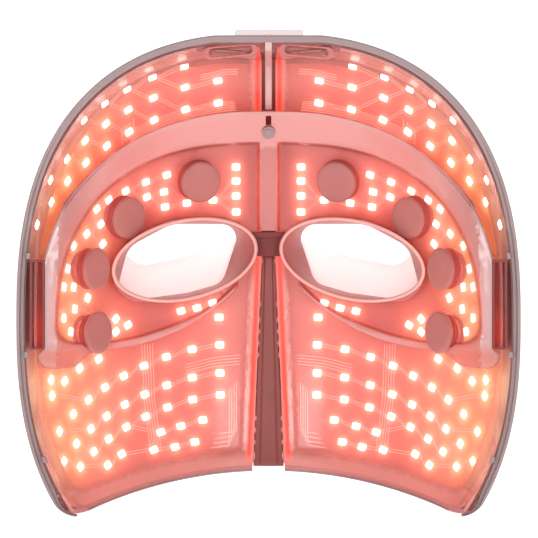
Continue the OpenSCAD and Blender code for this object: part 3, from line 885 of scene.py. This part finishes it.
def rim_section(groove):
    """The rim strip's section as (outward, backward) points, with a groove inside its lip."""
    half_w, half_d = RIM_STRIP_W / 2, RIM_STRIP_D / 2
    lip = [(half_w, half_d), (half_w, 0.5 - half_d), (half_w - 0.15, 0.15 - half_d), (half_w - 0.5, -half_d)]
    lip += [(0.45, -half_d), (0.2, 0.08 - half_d), (0.05, 0.25 * groove + 0.15 - half_d)]
    floor = [(0, groove + 0.1 - half_d), (-0.7, groove + 0.15 - half_d)]
    foot = [(0.1 - half_w, groove + 0.2 - half_d), (-half_w, groove + 0.4 - half_d), (-half_w, half_d)]
    return lip + floor + foot


def rim_frame():
    path = rim_path(RIM_STRIP_W / 2, RIM_STRIP_D / 2)
    depth = 2.0 * (1 - smoothstep(path[:, 2], 35, 75))
    sections = np.array([rim_section(groove) for groove in depth])
    from_end = np.minimum(np.arange(len(path)), np.arange(len(path))[::-1]) * 1.2
    width = 0.25 + 0.75 * smoothstep(from_end, 0, 16)
    half_w = RIM_STRIP_W / 2
    sections[..., 0] = half_w - (half_w - sections[..., 0]) * width[:, None]
    rim = make_object("rim_frame_looks", *sweep(path, sections), RIM_MAUVE)
    add_piece(rim, "rim_frame")
    # Painted shade: a brown ledge in the groove inside the rim, standing in for the groove's shade.
    ledge = sweep(rim_path(3.15, RIM_STRIP_D - 0.75), round_box(0.5, 1.5, 0.15, 2))
    ledge = make_object("rim_ledge", *ledge, GAP_SHADE_BROWN)
    add_piece(ledge)


def strip_on_bowl(left_edge, right_edge, depth, rows, columns=8):
    """A curved strip between two edge functions of z; depth(x, z) gives its y."""
    points = []
    for z in rows:
        for k in range(columns + 1):
            x = left_edge(z) + (right_edge(z) - left_edge(z)) * k / columns
            points.append((x, float(depth(x, z)), z))
    return np.array(points), quads(len(rows), columns + 1, round_columns=False)


def centre_spine():
    rows = np.linspace(77, 103.6, 24)
    rows = rows[rows < RIM_TOP - LINER_INSET - SPINE_PROUD]
    route = [(0, float(bowl_y(LINER_BOWL, -SPINE_PROUD, 0, z)), z) for z in rows]
    _, last_y, last_z = route[-1]
    for k in range(1, 12):
        t = k / 11
        route.append((0, last_y + (3 - last_y) * t, last_z + 3.2 * math.sin(math.pi / 2 * t)))
    route.append((0, 1.2, last_z + 5.5))
    route.append((0, 0.9, RIM_TOP + 0.4))
    path = resample(np.array(route, float), 1.0, closed=False)
    strip = sweep(path, round_box(1.6, SPINE_W, 0.45), up=(1, 0, 0))
    spine = make_object("centre_spine_looks", *strip, SPINE_MAUVE)
    add_piece(spine, "centre_spine")
    rows = np.linspace(14, 97, 60)
    # Painted shade: a brown sheet behind the gaps beside the spine, standing in for the shade in them.
    bed = strip_on_bowl(lambda z: -3.6, lambda z: 3.6, lambda x, z: bowl_y(LINER_BOWL, 1.6, x, z), rows, 6)
    bed = make_object("spine_bed", *bed, GAP_SHADE_BROWN)
    thicken(bed, 0.5, 0, outward=True)
    add_piece(bed)


def nose_strip():
    low_z, high_z = -76.6, 13.6

    def half(z):
        return np.interp(z, [low_z, high_z], [6.5, 2.7])

    def depth(x, z):
        off_middle = np.clip(np.abs(x) / half(z), 0, 1)
        return bowl_y(LINER_BOWL, 0.9, x, z) - 0.8 * (1 - smoothstep(off_middle, 0.45, 0.7))

    strip = strip_on_bowl(lambda z: -half(z), half, depth, np.linspace(low_z, high_z, 60), 24)
    strip = make_object("nose_strip_looks", *strip, STRIP_BROWN)
    thicken(strip, 1.3, 0.15, outward=True)
    add_piece(strip, "nose_strip")


def trim_front(x, z):
    """Where the bottom edge starts, just behind the liner and the rim strip."""
    return max(float(bowl_y(LINER_BOWL, 0.1, x, z)), RIM_STRIP_D + 0.1)


def bottom_trims():
    for side, sign in SIDES:
        low, high = [], []
        for a in np.linspace(math.asin(7.0 / ARCH_R), math.asin(LOBE_X / (ARCH_R + LOBE_R)), 90):
            spoke = np.array([-math.sin(a), math.cos(a)])
            base = np.array([0, ARCH_TOP_Z - ARCH_R])
            low.append(base + spoke * (ARCH_R + 0.05))
            high.append(base + spoke * (ARCH_R + EDGE_GAP))
        for a in np.radians(np.linspace(*LOBE_TURN, 40)):
            spoke = np.array([math.cos(a), math.sin(a)])
            middle = np.array([-LOBE_X, LOBE_Z])
            low.append(middle + spoke * (LOBE_R - 0.05))
            high.append(middle + spoke * (LOBE_R - EDGE_GAP))
        points = []
        for pair in zip(low, high):
            ring = []
            for k, (x, z) in enumerate(pair):
                inner = trim_front(x, z)
                outer = max(float(bowl_y(SHELL_BOWL, -0.1, x, z)), inner + 0.4)
                ring.append(((x, inner, z), (x, outer, z)))
            points += [ring[0][0], ring[0][1], ring[1][1], ring[1][0]]
        count = len(points) // 4
        faces = quads(count, 4)
        faces.append((0, 3, 2, 1))
        faces.append(tuple(4 * (count - 1) + k for k in range(4)))
        spots, faces = mirrored(np.array(points, float), faces, sign)
        trim = make_object(f"bottom_trim_looks_{side}", spots, faces, TRIM_PINK)
        ease_edges(trim, 0.5, 2)
        apply_modifiers(trim)
        add_piece(trim, f"bottom_trim_{side}")


def bottom_lines():
    """The thin lip of the rim that goes on along the arch, from each lobe to the nose strip."""
    radius = ARCH_R + 0.4
    for side, sign in SIDES:
        path = []
        for a in np.linspace(math.asin(7.2 / ARCH_R), math.asin((LOBE_X + 1) / (ARCH_R + LOBE_R)), 90):
            x, z = -radius * math.sin(a), ARCH_TOP_Z - ARCH_R + radius * math.cos(a)
            path.append((x, trim_front(x, z) - 0.2, z))
        points, faces = sweep(path, round_box(0.7, 0.9, 0.2, 2))
        lip = make_object(f"bottom_line_{side}", *mirrored(points, faces, sign), RIM_MAUVE)
        add_piece(lip)


# ---- Eye guards ----


def guard_outlines(extra):
    """The rim oval and the hole's outline of the right guard, point for point."""
    angle = np.linspace(0, 2 * np.pi, 144, endpoint=False)
    oval = np.stack([(EYE_HALF[0] + extra) * np.cos(angle), (EYE_HALF[1] + extra) * np.sin(angle)], 1)
    turned = rotated(oval, -EYE_TILT) + EYE_MID
    spots = np.vstack([round_loop(x, z, r + GUARD_WALL + extra, 0.5) for x, z, r in HOLE_DISCS])
    hull = spots[convex_hull_2d([Vector(p) for p in spots])]
    heading = np.unwrap(np.arctan2(*(turned - HOLE_MID).T[::-1]))
    hole = resample(hull, 0.25) - HOLE_MID
    turn = np.arctan2(hole[:, 1], hole[:, 0])
    order = np.argsort(turn)
    reach = np.interp(
        np.mod(heading + np.pi, 2 * np.pi) - np.pi, turn[order], np.hypot(*hole[order].T), period=2 * np.pi
    )
    hole = np.stack([np.cos(heading), np.sin(heading)], 1) * reach[:, None] + HOLE_MID
    return turned, hole


def guard_point(rim, hole, t):
    """A point of the funnel: t is 0 at the rim and 1 at the hole."""
    rim_y = GUARD_RIM[0] + GUARD_RIM[1] * (rim[:, 0] - GUARD_RIM[2])
    hole_y = GUARD_HOLE[0] + GUARD_HOLE[1] * (hole[:, 0] - GUARD_HOLE[2])
    flat = rim + (hole - rim) * t**0.92
    y = rim_y + (hole_y - rim_y) * t**1.3
    return np.stack([flat[:, 0], y, flat[:, 1]], 1)


def guard_hole_on(bowl, grow):
    """Where the guard's outside passes through a bowl, as a loop in x and z, for the right eye."""
    rim, hole = guard_outlines(0.2)
    best = guard_point(rim, hole, 1.0)
    found = best[:, [0, 2]].copy()
    done = np.zeros(len(rim), bool)
    for t in np.linspace(0, 1, 60):
        spot = guard_point(rim, hole, t)
        behind = spot[:, 1] >= bowl_y(bowl, grow, spot[:, 0], spot[:, 2]) - 0.2
        new = behind & ~done
        found[new] = spot[new][:, [0, 2]]
        done |= new
    for _ in range(6):
        found = (np.roll(found, 1, 0) + 2 * found + np.roll(found, -1, 0)) / 4
    return found


def lip_rows(start, end, steps, rise):
    """The rows of a rounded lip between two edges of the guard's wall."""
    middle, half = (start + end) / 2, (start - end) / 2
    turns = [math.pi * k / steps for k in range(1, steps)]
    return [middle + half * math.cos(a) + np.array([0, rise * math.sin(a), 0]) for a in turns]


def eye_guards():
    outer_rim, outer_hole = guard_outlines(0)
    inner_rim, inner_hole = guard_outlines(-GUARD_WALL)
    rows = []
    for t in np.linspace(0, 1, 22):
        rows.append(guard_point(inner_rim, inner_hole, t))
    rows += lip_rows(rows[-1], guard_point(outer_rim, outer_hole, 1.0), 5, 0.8)
    for t in np.linspace(1, 0, 22):
        rows.append(guard_point(outer_rim, outer_hole, t))
    rows += lip_rows(rows[-1], rows[0], 6, -0.8)
    points, faces = np.vstack(rows), quads(len(rows), len(rows[0]), round_rows=True)
    for side, sign in SIDES:
        spots = points * np.array([sign, 1, 1])
        turned = faces if sign > 0 else [f[::-1] for f in faces]
        guard = make_object(f"eye_guard_looks_{side}", spots, turned, GUARD_SOFT)
        spots = add_glow(guard)
        ahead = GUARD_RIM[0] + GUARD_RIM[1] * (np.abs(spots[:, 0]) - GUARD_RIM[2]) - spots[:, 1]
        # Painted highlight along the guard's lip, where it comes forward of the rim.
        add_attribute(guard.data, "lip", smoothstep(ahead, 0.1, 0.6))
        add_piece(guard, f"eye_guard_{side}")


# ---- Clear liner and light boards ----


def flipped(loop):
    return loop * np.array([-1, 1])


def liner_distance(x, z):
    sides = np.minimum(rim_distance(LINER_INSET, x, z), bottom_distance(EDGE_GAP, x, z))
    sides = np.minimum(sides, spine_distance(x, z))
    return np.minimum(sides, depth_distance(LINER_BOWL, 0, LINER_FRONT_Y, x, z))


def liner_height(x, z):
    y = dome_height(LINER_BOWL, 0, LINER_INSET, LINER_FRONT_Y, LINER_CORNER, x, z)
    lip = 1 - smoothstep(bottom_distance(EDGE_GAP, x, z), 4.6, 6.6)
    seam = 1 - smoothstep(spine_distance(x, z), 3.4, 4.6)
    return np.maximum(y - 0.9 * np.maximum(lip, seam), LINER_FRONT_Y)


def shade_clear(obj, **shades):
    """Writes the glow, and where the moulding has its border, its painted glowing edge, its painted shade
    lines and its painted highlight bands.
    """
    spots = add_glow(obj)
    for name, shade in shades.items():
        add_attribute(obj.data, name, shade(-np.abs(spots[:, 0]), spots[:, 2]))


def inner_liners():
    centre = (-46, 0)
    rings = dome_rings(liner_distance, centre, LINER_CORNER, 1.7)
    rings += [contour(liner_distance, level, centre, 1.7) for level in (4.0, 6.8)]
    hole = flipped(guard_hole_on(LINER_BOWL, 0))
    points, faces = fill(rings, [hole], liner_height, 1.7)

    def on_wall(x, z):
        return (rim_distance(LINER_INSET, x, z) < 0.35) & (spine_distance(x, z) > 0.4)

    def wall_end(x, y, z):
        in_notch = abs(abs(x) - TOP_SLOT[0]) < TOP_SLOT[2][0] / 2 + 1
        return min(9.5 if in_notch else LINER_FRONT_Y, y)

    points, faces = add_walls(points, faces, wall_end, on_wall, 8)

    def border(x, z):
        lip = 1 - smoothstep(bottom_distance(EDGE_GAP, x, z), 5.6, 7.0)
        seam = 0.75 * (1 - smoothstep(spine_distance(x, z), 4.0, 5.0))
        wall = 1 - smoothstep(rim_distance(LINER_INSET, x, z), 0.3, 1.2)
        return np.clip(np.maximum(np.maximum(lip, seam), 0.3 * wall), 0, 1)

    # Painted glow: a bright red line along the liner beside the spine seam, fading out at the bottom lip.
    def edge(x, z):
        seam = stripe(spine_distance(x, z), 1.7, 1.2, 4)
        return seam * smoothstep(bottom_distance(EDGE_GAP, x, z), 0, 6)

    # Painted shade: dark lines along the top of the bottom lip and at the foot of the rim wall.
    def line(x, z):
        lip_top = stripe(bottom_distance(EDGE_GAP, x, z), 5.6, 0.4) * 0.35
        foot = stripe(rim_distance(LINER_INSET, x, z), 0.9, 0.4) * 0.5
        return np.clip(np.maximum(lip_top, foot), 0, 1)

    # Painted highlight: a paler band along the top of the bottom lip.
    def pale(x, z):
        up = bottom_distance(EDGE_GAP, x, z)
        return 0.35 * smoothstep(up, 3.6, 4.6) * (1 - smoothstep(up, 4.8, 5.4))

    for side, sign in SIDES:
        liner = make_object(f"inner_liner_looks_{side}", *mirrored(points, faces, sign), LINER_CLEAR)
        thicken(liner, LINER_T - 0.2, 0, outward=True)
        shade_clear(liner, border=border, edge=edge, line=line, pale=pale)
        add_piece(liner, f"inner_liner_{side}")


def ribbon(points_2d, bowl, grow, width):
    """A thin flat line that follows a bowl, through points of x and z."""
    path = resample(np.asarray(points_2d, float), 1.2, closed=False)
    ahead = np.gradient(path, axis=0)
    ahead /= np.maximum(np.linalg.norm(ahead, axis=1)[:, None], 1e-9)
    side = np.stack([-ahead[:, 1], ahead[:, 0]], 1) * width / 2
    points = []
    for spots in (path - side, path + side):
        y = bowl_y(bowl, grow, spots[:, 0], spots[:, 1])
        points.append(np.stack([spots[:, 0], y, spots[:, 1]], 1))
    return np.vstack(points), quads(2, len(path), round_columns=False)


LINK_REACH = 17
BOARD_SPACING = 1.8


def row_links(spots):
    """Lines from each LED to the next one outward in its row."""
    links = []
    for a in spots:
        ahead = [b for b in spots if 3 < a[0] - b[0] < LINK_REACH and abs(a[2] - b[2]) < 0.85 * (a[0] - b[0])]
        if ahead:
            b = min(ahead, key=lambda other: np.hypot(other[0] - a[0], 1.6 * (other[2] - a[2])))
            links.append((a, b))
    return links


def board_lines(kind):
    """The traces of a left board, as lists of (x, z) points."""
    spots = [led[0] for led in LEDS[f"{kind}_leds_left"]]
    lines = []
    for a, b in row_links(spots):
        for lift in (-0.55, 0.55):
            middle = ((a[0] + b[0]) / 2, (a[2] + b[2]) / 2 + lift)
            lines.append([(a[0] - 1.9, a[2] + lift), middle, (b[0] + 1.9, b[2] + lift)])
    if kind == "forehead":
        for k in range(6):
            arc = contour(frame_distance, 0, (0, 50), 2)
            arc = arc[(arc[:, 1] > 40) & (arc[:, 0] < -13) & (arc[:, 0] > -58)]
            away = arc - np.array([0, 20])
            away /= np.linalg.norm(away, axis=1)[:, None]
            lines.append(arc + away * (1.4 + 0.75 * k))
        for k in range(4):
            lines.append([(-57 - 1.6 * k, 72 - 1.6 * k), (-57 - 1.6 * k, 66 - 1.6 * k)])
        for k in range(3):
            drop = 0.9 * k
            lines.append([(-13, 93.2 - drop), (-19, 92.8 - drop), (-24, 91.6 - drop), (-29, 90.4 - drop)])
    if kind == "cheek":
        for k in range(5):
            lines.append([(-50 - 1.1 * k, -24), (-49 - 1.1 * k, -48), (-46 - 1.1 * k, -70)])
        for k in range(4):
            lines.append([(-12.5, -29 - 1.3 * k), (-24, -30 - 1.3 * k), (-36, -33 - 1.3 * k)])
            lines.append([(-14 - k, -41 - k), (-14 - k, -62 - 2 * k), (-22 - k, -63 - 2 * k)])
    return lines


def light_board(kind, bowl, grow, distance, centre, holes):
    loop = contour(distance, 0, centre, BOARD_SPACING)
    points, faces = fill([loop], holes, lambda x, z: bowl_y(bowl, grow, x, z), BOARD_SPACING)
    lines = joined([ribbon(line, bowl, grow - 0.1, 0.34) for line in board_lines(kind)])
    for side, sign in SIDES:
        board = make_object(f"{kind}_board_looks_{side}", *mirrored(points, faces, sign), BOARD_FILM)
        thicken(board, 0.3, 0, outward=True)
        add_glow(board)
        add_piece(board, f"{kind}_board_{side}")
        traces = make_object(f"{kind}_traces_{side}", *mirrored(*lines, sign), TRACE_PALE)
        add_piece(traces)


def light_boards():
    def behind_liner(x, z):
        sides = np.minimum(rim_distance(7.8, x, z), bottom_distance(4.5, x, z))
        sides = np.minimum(sides, spine_distance(x, z) - 4.2)
        return np.minimum(sides, depth_distance(LINER_BOWL, 2.4, 5, x, z))

    light_board(
        "forehead", LINER_BOWL, LINER_T + 1,
        lambda x, z: np.minimum(behind_liner(x, z), np.minimum(z - 14, 3 - frame_distance(x, z))),
        (-62, 62), [],
    )
    light_board(
        "cheek", LINER_BOWL, LINER_T + 1,
        lambda x, z: np.minimum(np.minimum(behind_liner(x, z), 12 - z), 4 - frame_distance(x, z)),
        (-30, -45), [flipped(guard_hole_on(LINER_BOWL, LINER_T + 1))],
    )
    holes = [flipped(guard_hole_on(FRAME_BOWL, EYE_BOARD_RISE))]
    holes += [round_on_bowl(-x, z, STEM_HOLE_R, EYE_BOARD_RISE - PANEL_DROP) for x, z in PAD_PLACES]
    light_board(
        "eye", FRAME_BOWL, EYE_BOARD_RISE,
        lambda x, z: np.minimum.reduce(
            [frame_distance(x, z) - 2.4, -5.5 - x, depth_distance(FRAME_BOWL, EYE_BOARD_RISE, 6, x, z)]
        ),
        (-40, 46), holes,
    )


# ---- Eye frame ----


def eye_frame():
    centre = (0, 50)
    hole_left = flipped(guard_hole_on(FRAME_BOWL, 1))

    def height(x, z):
        outside = np.clip(1 - frame_distance(x, z) / 1.4, 0, 1)
        edge = 1.4 * (1 - np.sqrt(1 - outside**2))
        recess = PANEL_DROP * smoothstep(panel_distance(x, z), -0.2, 1.5)
        ridge = -0.5 * stripe(panel_distance(x, z), -1.1, 0.8)
        dish = bowl_y(FRAME_BOWL, 0, x, z)
        dish = FRAME_FRONT_Y + np.where(dish > FRAME_FRONT_Y, dish - FRAME_FRONT_Y, 0)
        return dish + edge + recess + ridge

    def distance(x, z):
        notch = np.maximum(np.abs(x) - 7.5, z - 25)
        beyond = np.abs(z - SIDE_SLOT[1]) - SIDE_SLOT[3] / 2 - 1.1
        slot = np.where(np.abs(x) > 80, np.maximum(SIDE_SLOT[0] - 3.2 - np.abs(x), beyond), 99)
        return np.minimum(np.minimum(frame_distance(x, z), notch), slot)

    rings = [contour(distance, level, centre, 1.3) for level in (0, 0.1, 0.4, 0.8, 1.4)]
    rings += flange_creases()
    for sign in (-1, 1):
        middle = (sign * 45, 40)

        def side_panel(x, z):
            return np.minimum(panel_distance(x, z), sign * x)

        rings += [contour(side_panel, level, middle, 1.2) for level in (-0.2, 0.25, 0.65, 1.05, 1.5)]
    holes = [hole_left, flipped(hole_left)]
    holes += [round_on_bowl(s * x, z, 6.1) for x, z in PAD_PLACES for _, s in SIDES]
    holes.append(round_loop(0, 67, 2.8, 0.6))
    holes.append(resample(round_box(2.4, 4, 0.3, 2, (0, 71.6)), 0.5))
    points, faces = fill(rings, holes, height, 1.8)
    points, faces = frame_skirt(points, faces, distance)
    obj = make_object("eye_frame_looks", points, faces, FRAME_TINTED)
    thicken(obj, FRAME_T - 0.2, 0, outward=True)

    def border(x, z):
        band = 1 - smoothstep(panel_distance(x, z), -0.4, 1.3)
        on_rib = (np.abs(x) < 5.5) & (z < 60)
        clear_foot = 1 - 0.65 * (1 - smoothstep(z, -27, -21))
        return np.clip(band * np.where(on_rib, 0.45, clear_foot), 0, 1)

    # Painted glow: a bright red line inside the lower border.
    def edge(x, z):
        in_panel = panel_distance(x, z)
        low_border = (z < 5) & (in_panel > -2) & (frame_distance(x, z) > 0.3)
        return 0.35 * low_border * stripe(in_panel, 1.6, 0.6)

    # Painted shade: dark lines at the panel's edge and the frame's outer edge, a painted shadow beside each
    # guard, and a darker panel beside the rib.
    def line(x, z):
        panel_line = stripe(panel_distance(x, z), 0.75, 0.45)
        outer_line = stripe(frame_distance(x, z), 0, 0.45) * 0.6
        beside_guard = nearest(np.stack([x, z], 1), hole_left)
        shadow = 0.85 * stripe(beside_guard, 0, 1.1) * smoothstep(z, -14, 20)
        in_panel = panel_distance(x, z) > 0
        beside_rib = 0.5 * in_panel * (1 - smoothstep(np.abs(x), 6, 17)) * smoothstep(z, 20, 36)
        return np.clip(np.maximum.reduce([0.8 * panel_line, outer_line, shadow, beside_rib]), 0, 1)

    # Painted highlight: a paler line along the bevel and paler side bands.
    def pale(x, z):
        bevel = stripe(frame_distance(x, z), 1.5, 0.5)
        side_band = smoothstep(np.abs(x), 58, 82) * (1 - smoothstep(panel_distance(x, z), -1.5, 0))
        return np.clip(0.5 * bevel + 0.6 * side_band * smoothstep(z, -27, -21), 0, 1)

    shade_clear(obj, border=border, edge=edge, line=line, pale=pale)
    add_piece(obj, "eye_frame")


def flange_creases():
    """The lines where the curved band meets the flat flange at each side, as thin loops."""
    z = np.linspace(-24, 18, 30)
    radius = bowl_radius(FRAME_BOWL, 0, z)
    x = np.sqrt(radius**2 - (FRAME_FRONT_Y - FRAME_BOWL[0]) ** 2)
    line = np.stack([x, z], 1)
    loop = np.vstack([line - (0.25, 0), line[::-1] + (0.25, 0)])
    return [loop, flipped(loop)]


def round_on_bowl(x, z, radius, depth=0.0):
    """The outline in x and z of a hole drilled along the panel's normal, at a depth behind it."""
    normal = bowl_normal(FRAME_BOWL, PANEL_DROP, x, z)
    origin = bowl_point(FRAME_BOWL, PANEL_DROP, x, z)
    ring, _ = lathe([(radius, depth)], (origin, normal), 36)
    return ring[:, [0, 2]]


def frame_skirt(points, faces, distance):
    """Runs the frame's outer edge back to the liner."""
    shortest = 0.5
    return add_walls(
        points, faces, lambda x, y, z: y + max(float(bowl_y(LINER_BOWL, -0.4, x, z)) - y, shortest),
        lambda x, z: distance(x, z) < 0.05, 4,
    )


# ---- Pads ----


def pad_place(x, z):
    return bowl_point(FRAME_BOWL, PANEL_DROP, x, z), bowl_normal(FRAME_BOWL, PANEL_DROP, x, z)


# The pad's outline: its radius, and its height behind the panel, which is below 0 in front of it
PAD_PROFILE = [
    (0, -6.35), (3, -6.4), (6, -6.4), (7.5, -6.32), (8.15, -6.15), (8.6, -5.8), (8.78, -5.35),
    (8.72, -4.85), (8.45, -4.45), (8, -4.25), (7, -4.2), (5.8, -4.2), (5.8, 2.1), (6.7, 2.1), (6.7, 2.9),
    (5.1, 2.9), (5.1, -1.4), (0, -1.4),
]
# The boot's outline: a share of its radius, and its height behind the panel
BOOT_PROFILE = [
    (0.75, -4.05), (0.9, -4.05), (0.95, -3.75), (0.95, -3.25), (0.9, -2.9), (0.89, -2.65), (0.95, -2.3),
    (0.96, -1.9), (0.92, -1.6), (0.92, -1.4), (0.98, -1.1), (1, -0.85), (0.99, -0.65), (0.75, -0.65),
]
BOOT_RADII = (9.1, 9.1, 8.6, 7.6)


def pads():
    for side, sign in SIDES:
        for name, (x, z), boot_r in zip(PAD_NAMES, PAD_PLACES, BOOT_RADII):
            place = pad_place(sign * x, z)
            pad = make_object(f"{name}_pad_looks_{side}", *lathe(PAD_PROFILE, place), PAD_SOFT, 60)
            add_glow(pad)
            add_piece(pad, f"{name}_pad_{side}", f"{name}_pad_{side}_body")
            closed = [*BOOT_PROFILE, BOOT_PROFILE[0]]
            profile = [(max(6.2, share * boot_r), height) for share, height in closed]
            boot = make_object(f"{name}_boot_{side}", *lathe(profile, place), BOOT_RED, 60)
            add_glow(boot)
            add_piece(boot, f"pad_boots_{side}")
            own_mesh(boot)


# ---- LEDs ----

# Width, height and corner radius
LED_CASE, LED_TOP, LED_WINDOW = (3.5, 2.8, 0.5), (3.3, 2.6, 0.45), (2.6, 2.0, 0.6)


def led_package(led):
    """One LED: a moulded case with a lit window, as two sets of (points, faces)."""
    middle, long_axis, short_axis, normal = led
    forward = -normal

    def ring(width, height, radius, lift):
        outline = round_box(width, height, radius, 3)
        return [middle + long_axis * u + short_axis * v + forward * lift for u, v in outline]

    case = [ring(*LED_CASE, -0.3), ring(*LED_CASE, 0.1), ring(*LED_TOP, 0.2)]
    window = [ring(*LED_TOP, 0.2), ring(*LED_WINDOW, 0.28)]
    made = []
    for rows in (case, window):
        count = len(rows[0])
        points = np.array([p for row in rows for p in row])
        faces = quads(len(rows), count)
        if rows is window:
            faces.append(tuple((len(rows) - 1) * count + k for k in range(count)))
        else:
            faces.append(tuple(range(count))[::-1])
        made.append((points, faces))
    return made


def led_groups():
    for node in LED_NODES:
        parts = [part for led in LEDS[node] for part in led_package(led)]
        group = make_object(f"{node}_looks", *joined(parts), LED_LIT)
        add_piece(group, node)


# ---- Backs of the strap slots ----


def slot_backs():
    """A bowed plate behind each strap slot, with a rib along the top ones."""
    for side, sign in SIDES:
        mid_x, mid_z, width, height = SIDE_SLOT
        rows = np.linspace(mid_z - height / 2, mid_z + height / 2, 30)
        plate = strip_on_bowl(
            lambda z: mid_x - width / 2 - 0.5, lambda z: mid_x + width / 2 + 0.5,
            lambda x, z: 12.6 - 1.2 * ((x - mid_x) / width) ** 2 - 0.6 * ((z - mid_z) / height) ** 2,
            rows, 10,
        )
        points, faces = mirrored(*plate, -sign)
        side_back = make_object(f"side_slot_back_{side}", points, faces, SLOT_RED)
        thicken(side_back, 0.5, 0, outward=True)
        up = np.array([v.co.z for v in side_back.data.vertices]) / MM
        # Painted glow, strongest in a band across the lower part of the slot.
        add_attribute(side_back.data, "lit", stripe(up, -17, 9))
        add_piece(side_back)

        mid_x, mid_z, outer, hole, tilt = TOP_SLOT
        loop = stadium_loop(sign * mid_x, mid_z, outer[0] - outer[1], outer[1] - 0.8, sign * tilt, 0.8)
        inner = stadium_loop(sign * mid_x, mid_z, 12, 0.7, sign * tilt, 0.5)

        def ribbed(x, z):
            a = math.radians(sign * tilt)
            across = (z - mid_z) * math.cos(a) - (x - sign * mid_x) * math.sin(a)
            return 8.6 - 1.6 * stripe(across, 0, 0.5)

        top_back = make_object(f"top_slot_back_{side}", *fill([loop, inner], [], ribbed, 0.6), SLOT_BROWN)
        thicken(top_back, 0.5, 0, outward=True)
        add_piece(top_back)


# ---- CAD nodes that stay ----

# Each node's material and the width of its eased edges, in millimetres
MIDDLE_LOOKS = {
    "nose_bridge": (BRIDGE_BROWN, 0.5), "spine_catch": (RIM_MAUVE, 0.3), "main_board": (BOARD_GREEN, 0.1),
    "power_button": (BUTTON_GREY, 0.4), "mode_button": (BUTTON_GREY, 0.4), "usb_port": (STEEL, 0.1),
    "screws": (STEEL, 0.1), "snap_tabs": (RIM_MAUVE, 0.3),
}
SIDE_LOOKS = {
    "side_grip": (GRIP_GREY, 0), "battery_cell": (WRAP_GREY, 0.6), "top_slot_bezel": (BEZEL_PINK, 0.4),
    "side_slot_bezel": (BOOT_RED, 0.2), **{f"{name}_motor": (STEEL, 0.3) for name in PAD_NAMES},
}


def dress_cad_nodes():
    looks = {f"{kind}_{side}": look for kind, look in SIDE_LOOKS.items() for side, _ in SIDES}
    looks.update(MIDDLE_LOOKS)
    for node, (material, bevel) in looks.items():
        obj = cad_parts[node]
        obj.data.materials.clear()
        obj.data.materials.append(material)
        if bevel:
            weld = obj.modifiers.new("weld", "WELD")
            weld.merge_threshold = 0.001 * MM
            ease_edges(obj, bevel, 3, 40)


# ---- Studio ----


def studio():
    white = bpy.data.materials.new("studio_white")
    white.use_nodes = True
    surface = white.node_tree.nodes["Principled BSDF"]
    surface.inputs["Base Color"].default_value = (0.55, 0.55, 0.55, 1)
    surface.inputs["Roughness"].default_value = 0.9
    surface.inputs["Emission Color"].default_value = (1, 1, 1, 1)
    surface.inputs["Emission Strength"].default_value = 0.9
    floor_z, bend_y, bend_r, half_w = -0.0922, 0.9, 0.6, 12
    profile = [(-half_w, floor_z), (bend_y, floor_z)]
    for k in range(1, 13):
        a = math.radians(90 * k / 12)
        profile.append((bend_y + bend_r * math.sin(a), floor_z + bend_r * (1 - math.cos(a))))
    profile.append((bend_y + bend_r, 3.0))
    points = [(x, y, z) for y, z in profile for x in (-half_w, half_w)]
    faces = [(2 * i, 2 * i + 1, 2 * i + 3, 2 * i + 2) for i in range(len(profile) - 1)]
    mesh = bpy.data.meshes.new("backdrop")
    mesh.from_pydata(points, [], faces)
    mesh.shade_smooth()
    floor = bpy.data.objects.new("backdrop", mesh)
    bpy.context.scene.collection.objects.link(floor)
    mesh.materials.append(white)

    world = bpy.data.worlds.new("studio")
    bpy.context.scene.world = world
    world.use_nodes = True
    world.node_tree.nodes["Background"].inputs[0].default_value = (1, 1, 1, 1)
    world.node_tree.nodes["Background"].inputs[1].default_value = 0.05

    def softbox(name, place, target, size, power):
        lamp = bpy.data.lights.new(name, "AREA")
        lamp.shape = "RECTANGLE"
        lamp.size, lamp.size_y = size
        lamp.energy = power
        obj = bpy.data.objects.new(name, lamp)
        bpy.context.scene.collection.objects.link(obj)
        obj.location = place
        obj.rotation_mode = "QUATERNION"
        obj.rotation_quaternion = (Vector(target) - Vector(place)).to_track_quat("-Z", "Y")

    softbox("key", (-0.33, -0.92, 0.17), (0, 0, 0), (0.26, 0.3), 2.1)
    softbox("fill", (0.33, -0.92, 0.17), (0, 0, 0), (0.26, 0.3), 2.0)
    softbox("top", (0, 0.35, 1.1), (0, 0.3, 0), (0.8, 0.5), 2.2)
    softbox("back", (0, 1.0, 1.2), (0, 1.3, 0), (1.6, 0.6), 2)

    camera = bpy.data.cameras.new("camera")
    camera.lens = 165.6
    camera.sensor_width = 36
    camera.clip_start = 0.05
    obj = bpy.data.objects.new("camera", camera)
    bpy.context.scene.collection.objects.link(obj)
    obj.location = (0.0002, -1.0, 0.0085)
    obj.rotation_euler = (math.radians(90), 0, 0)
    bpy.context.scene.camera = obj
    bpy.context.scene.view_settings.view_transform = "Standard"


outer_shell()
crown_ridge()
rim_frame()
centre_spine()
nose_strip()
bottom_trims()
bottom_lines()
eye_guards()
inner_liners()
light_boards()
eye_frame()
pads()
led_groups()
slot_backs()
dress_cad_nodes()
studio()
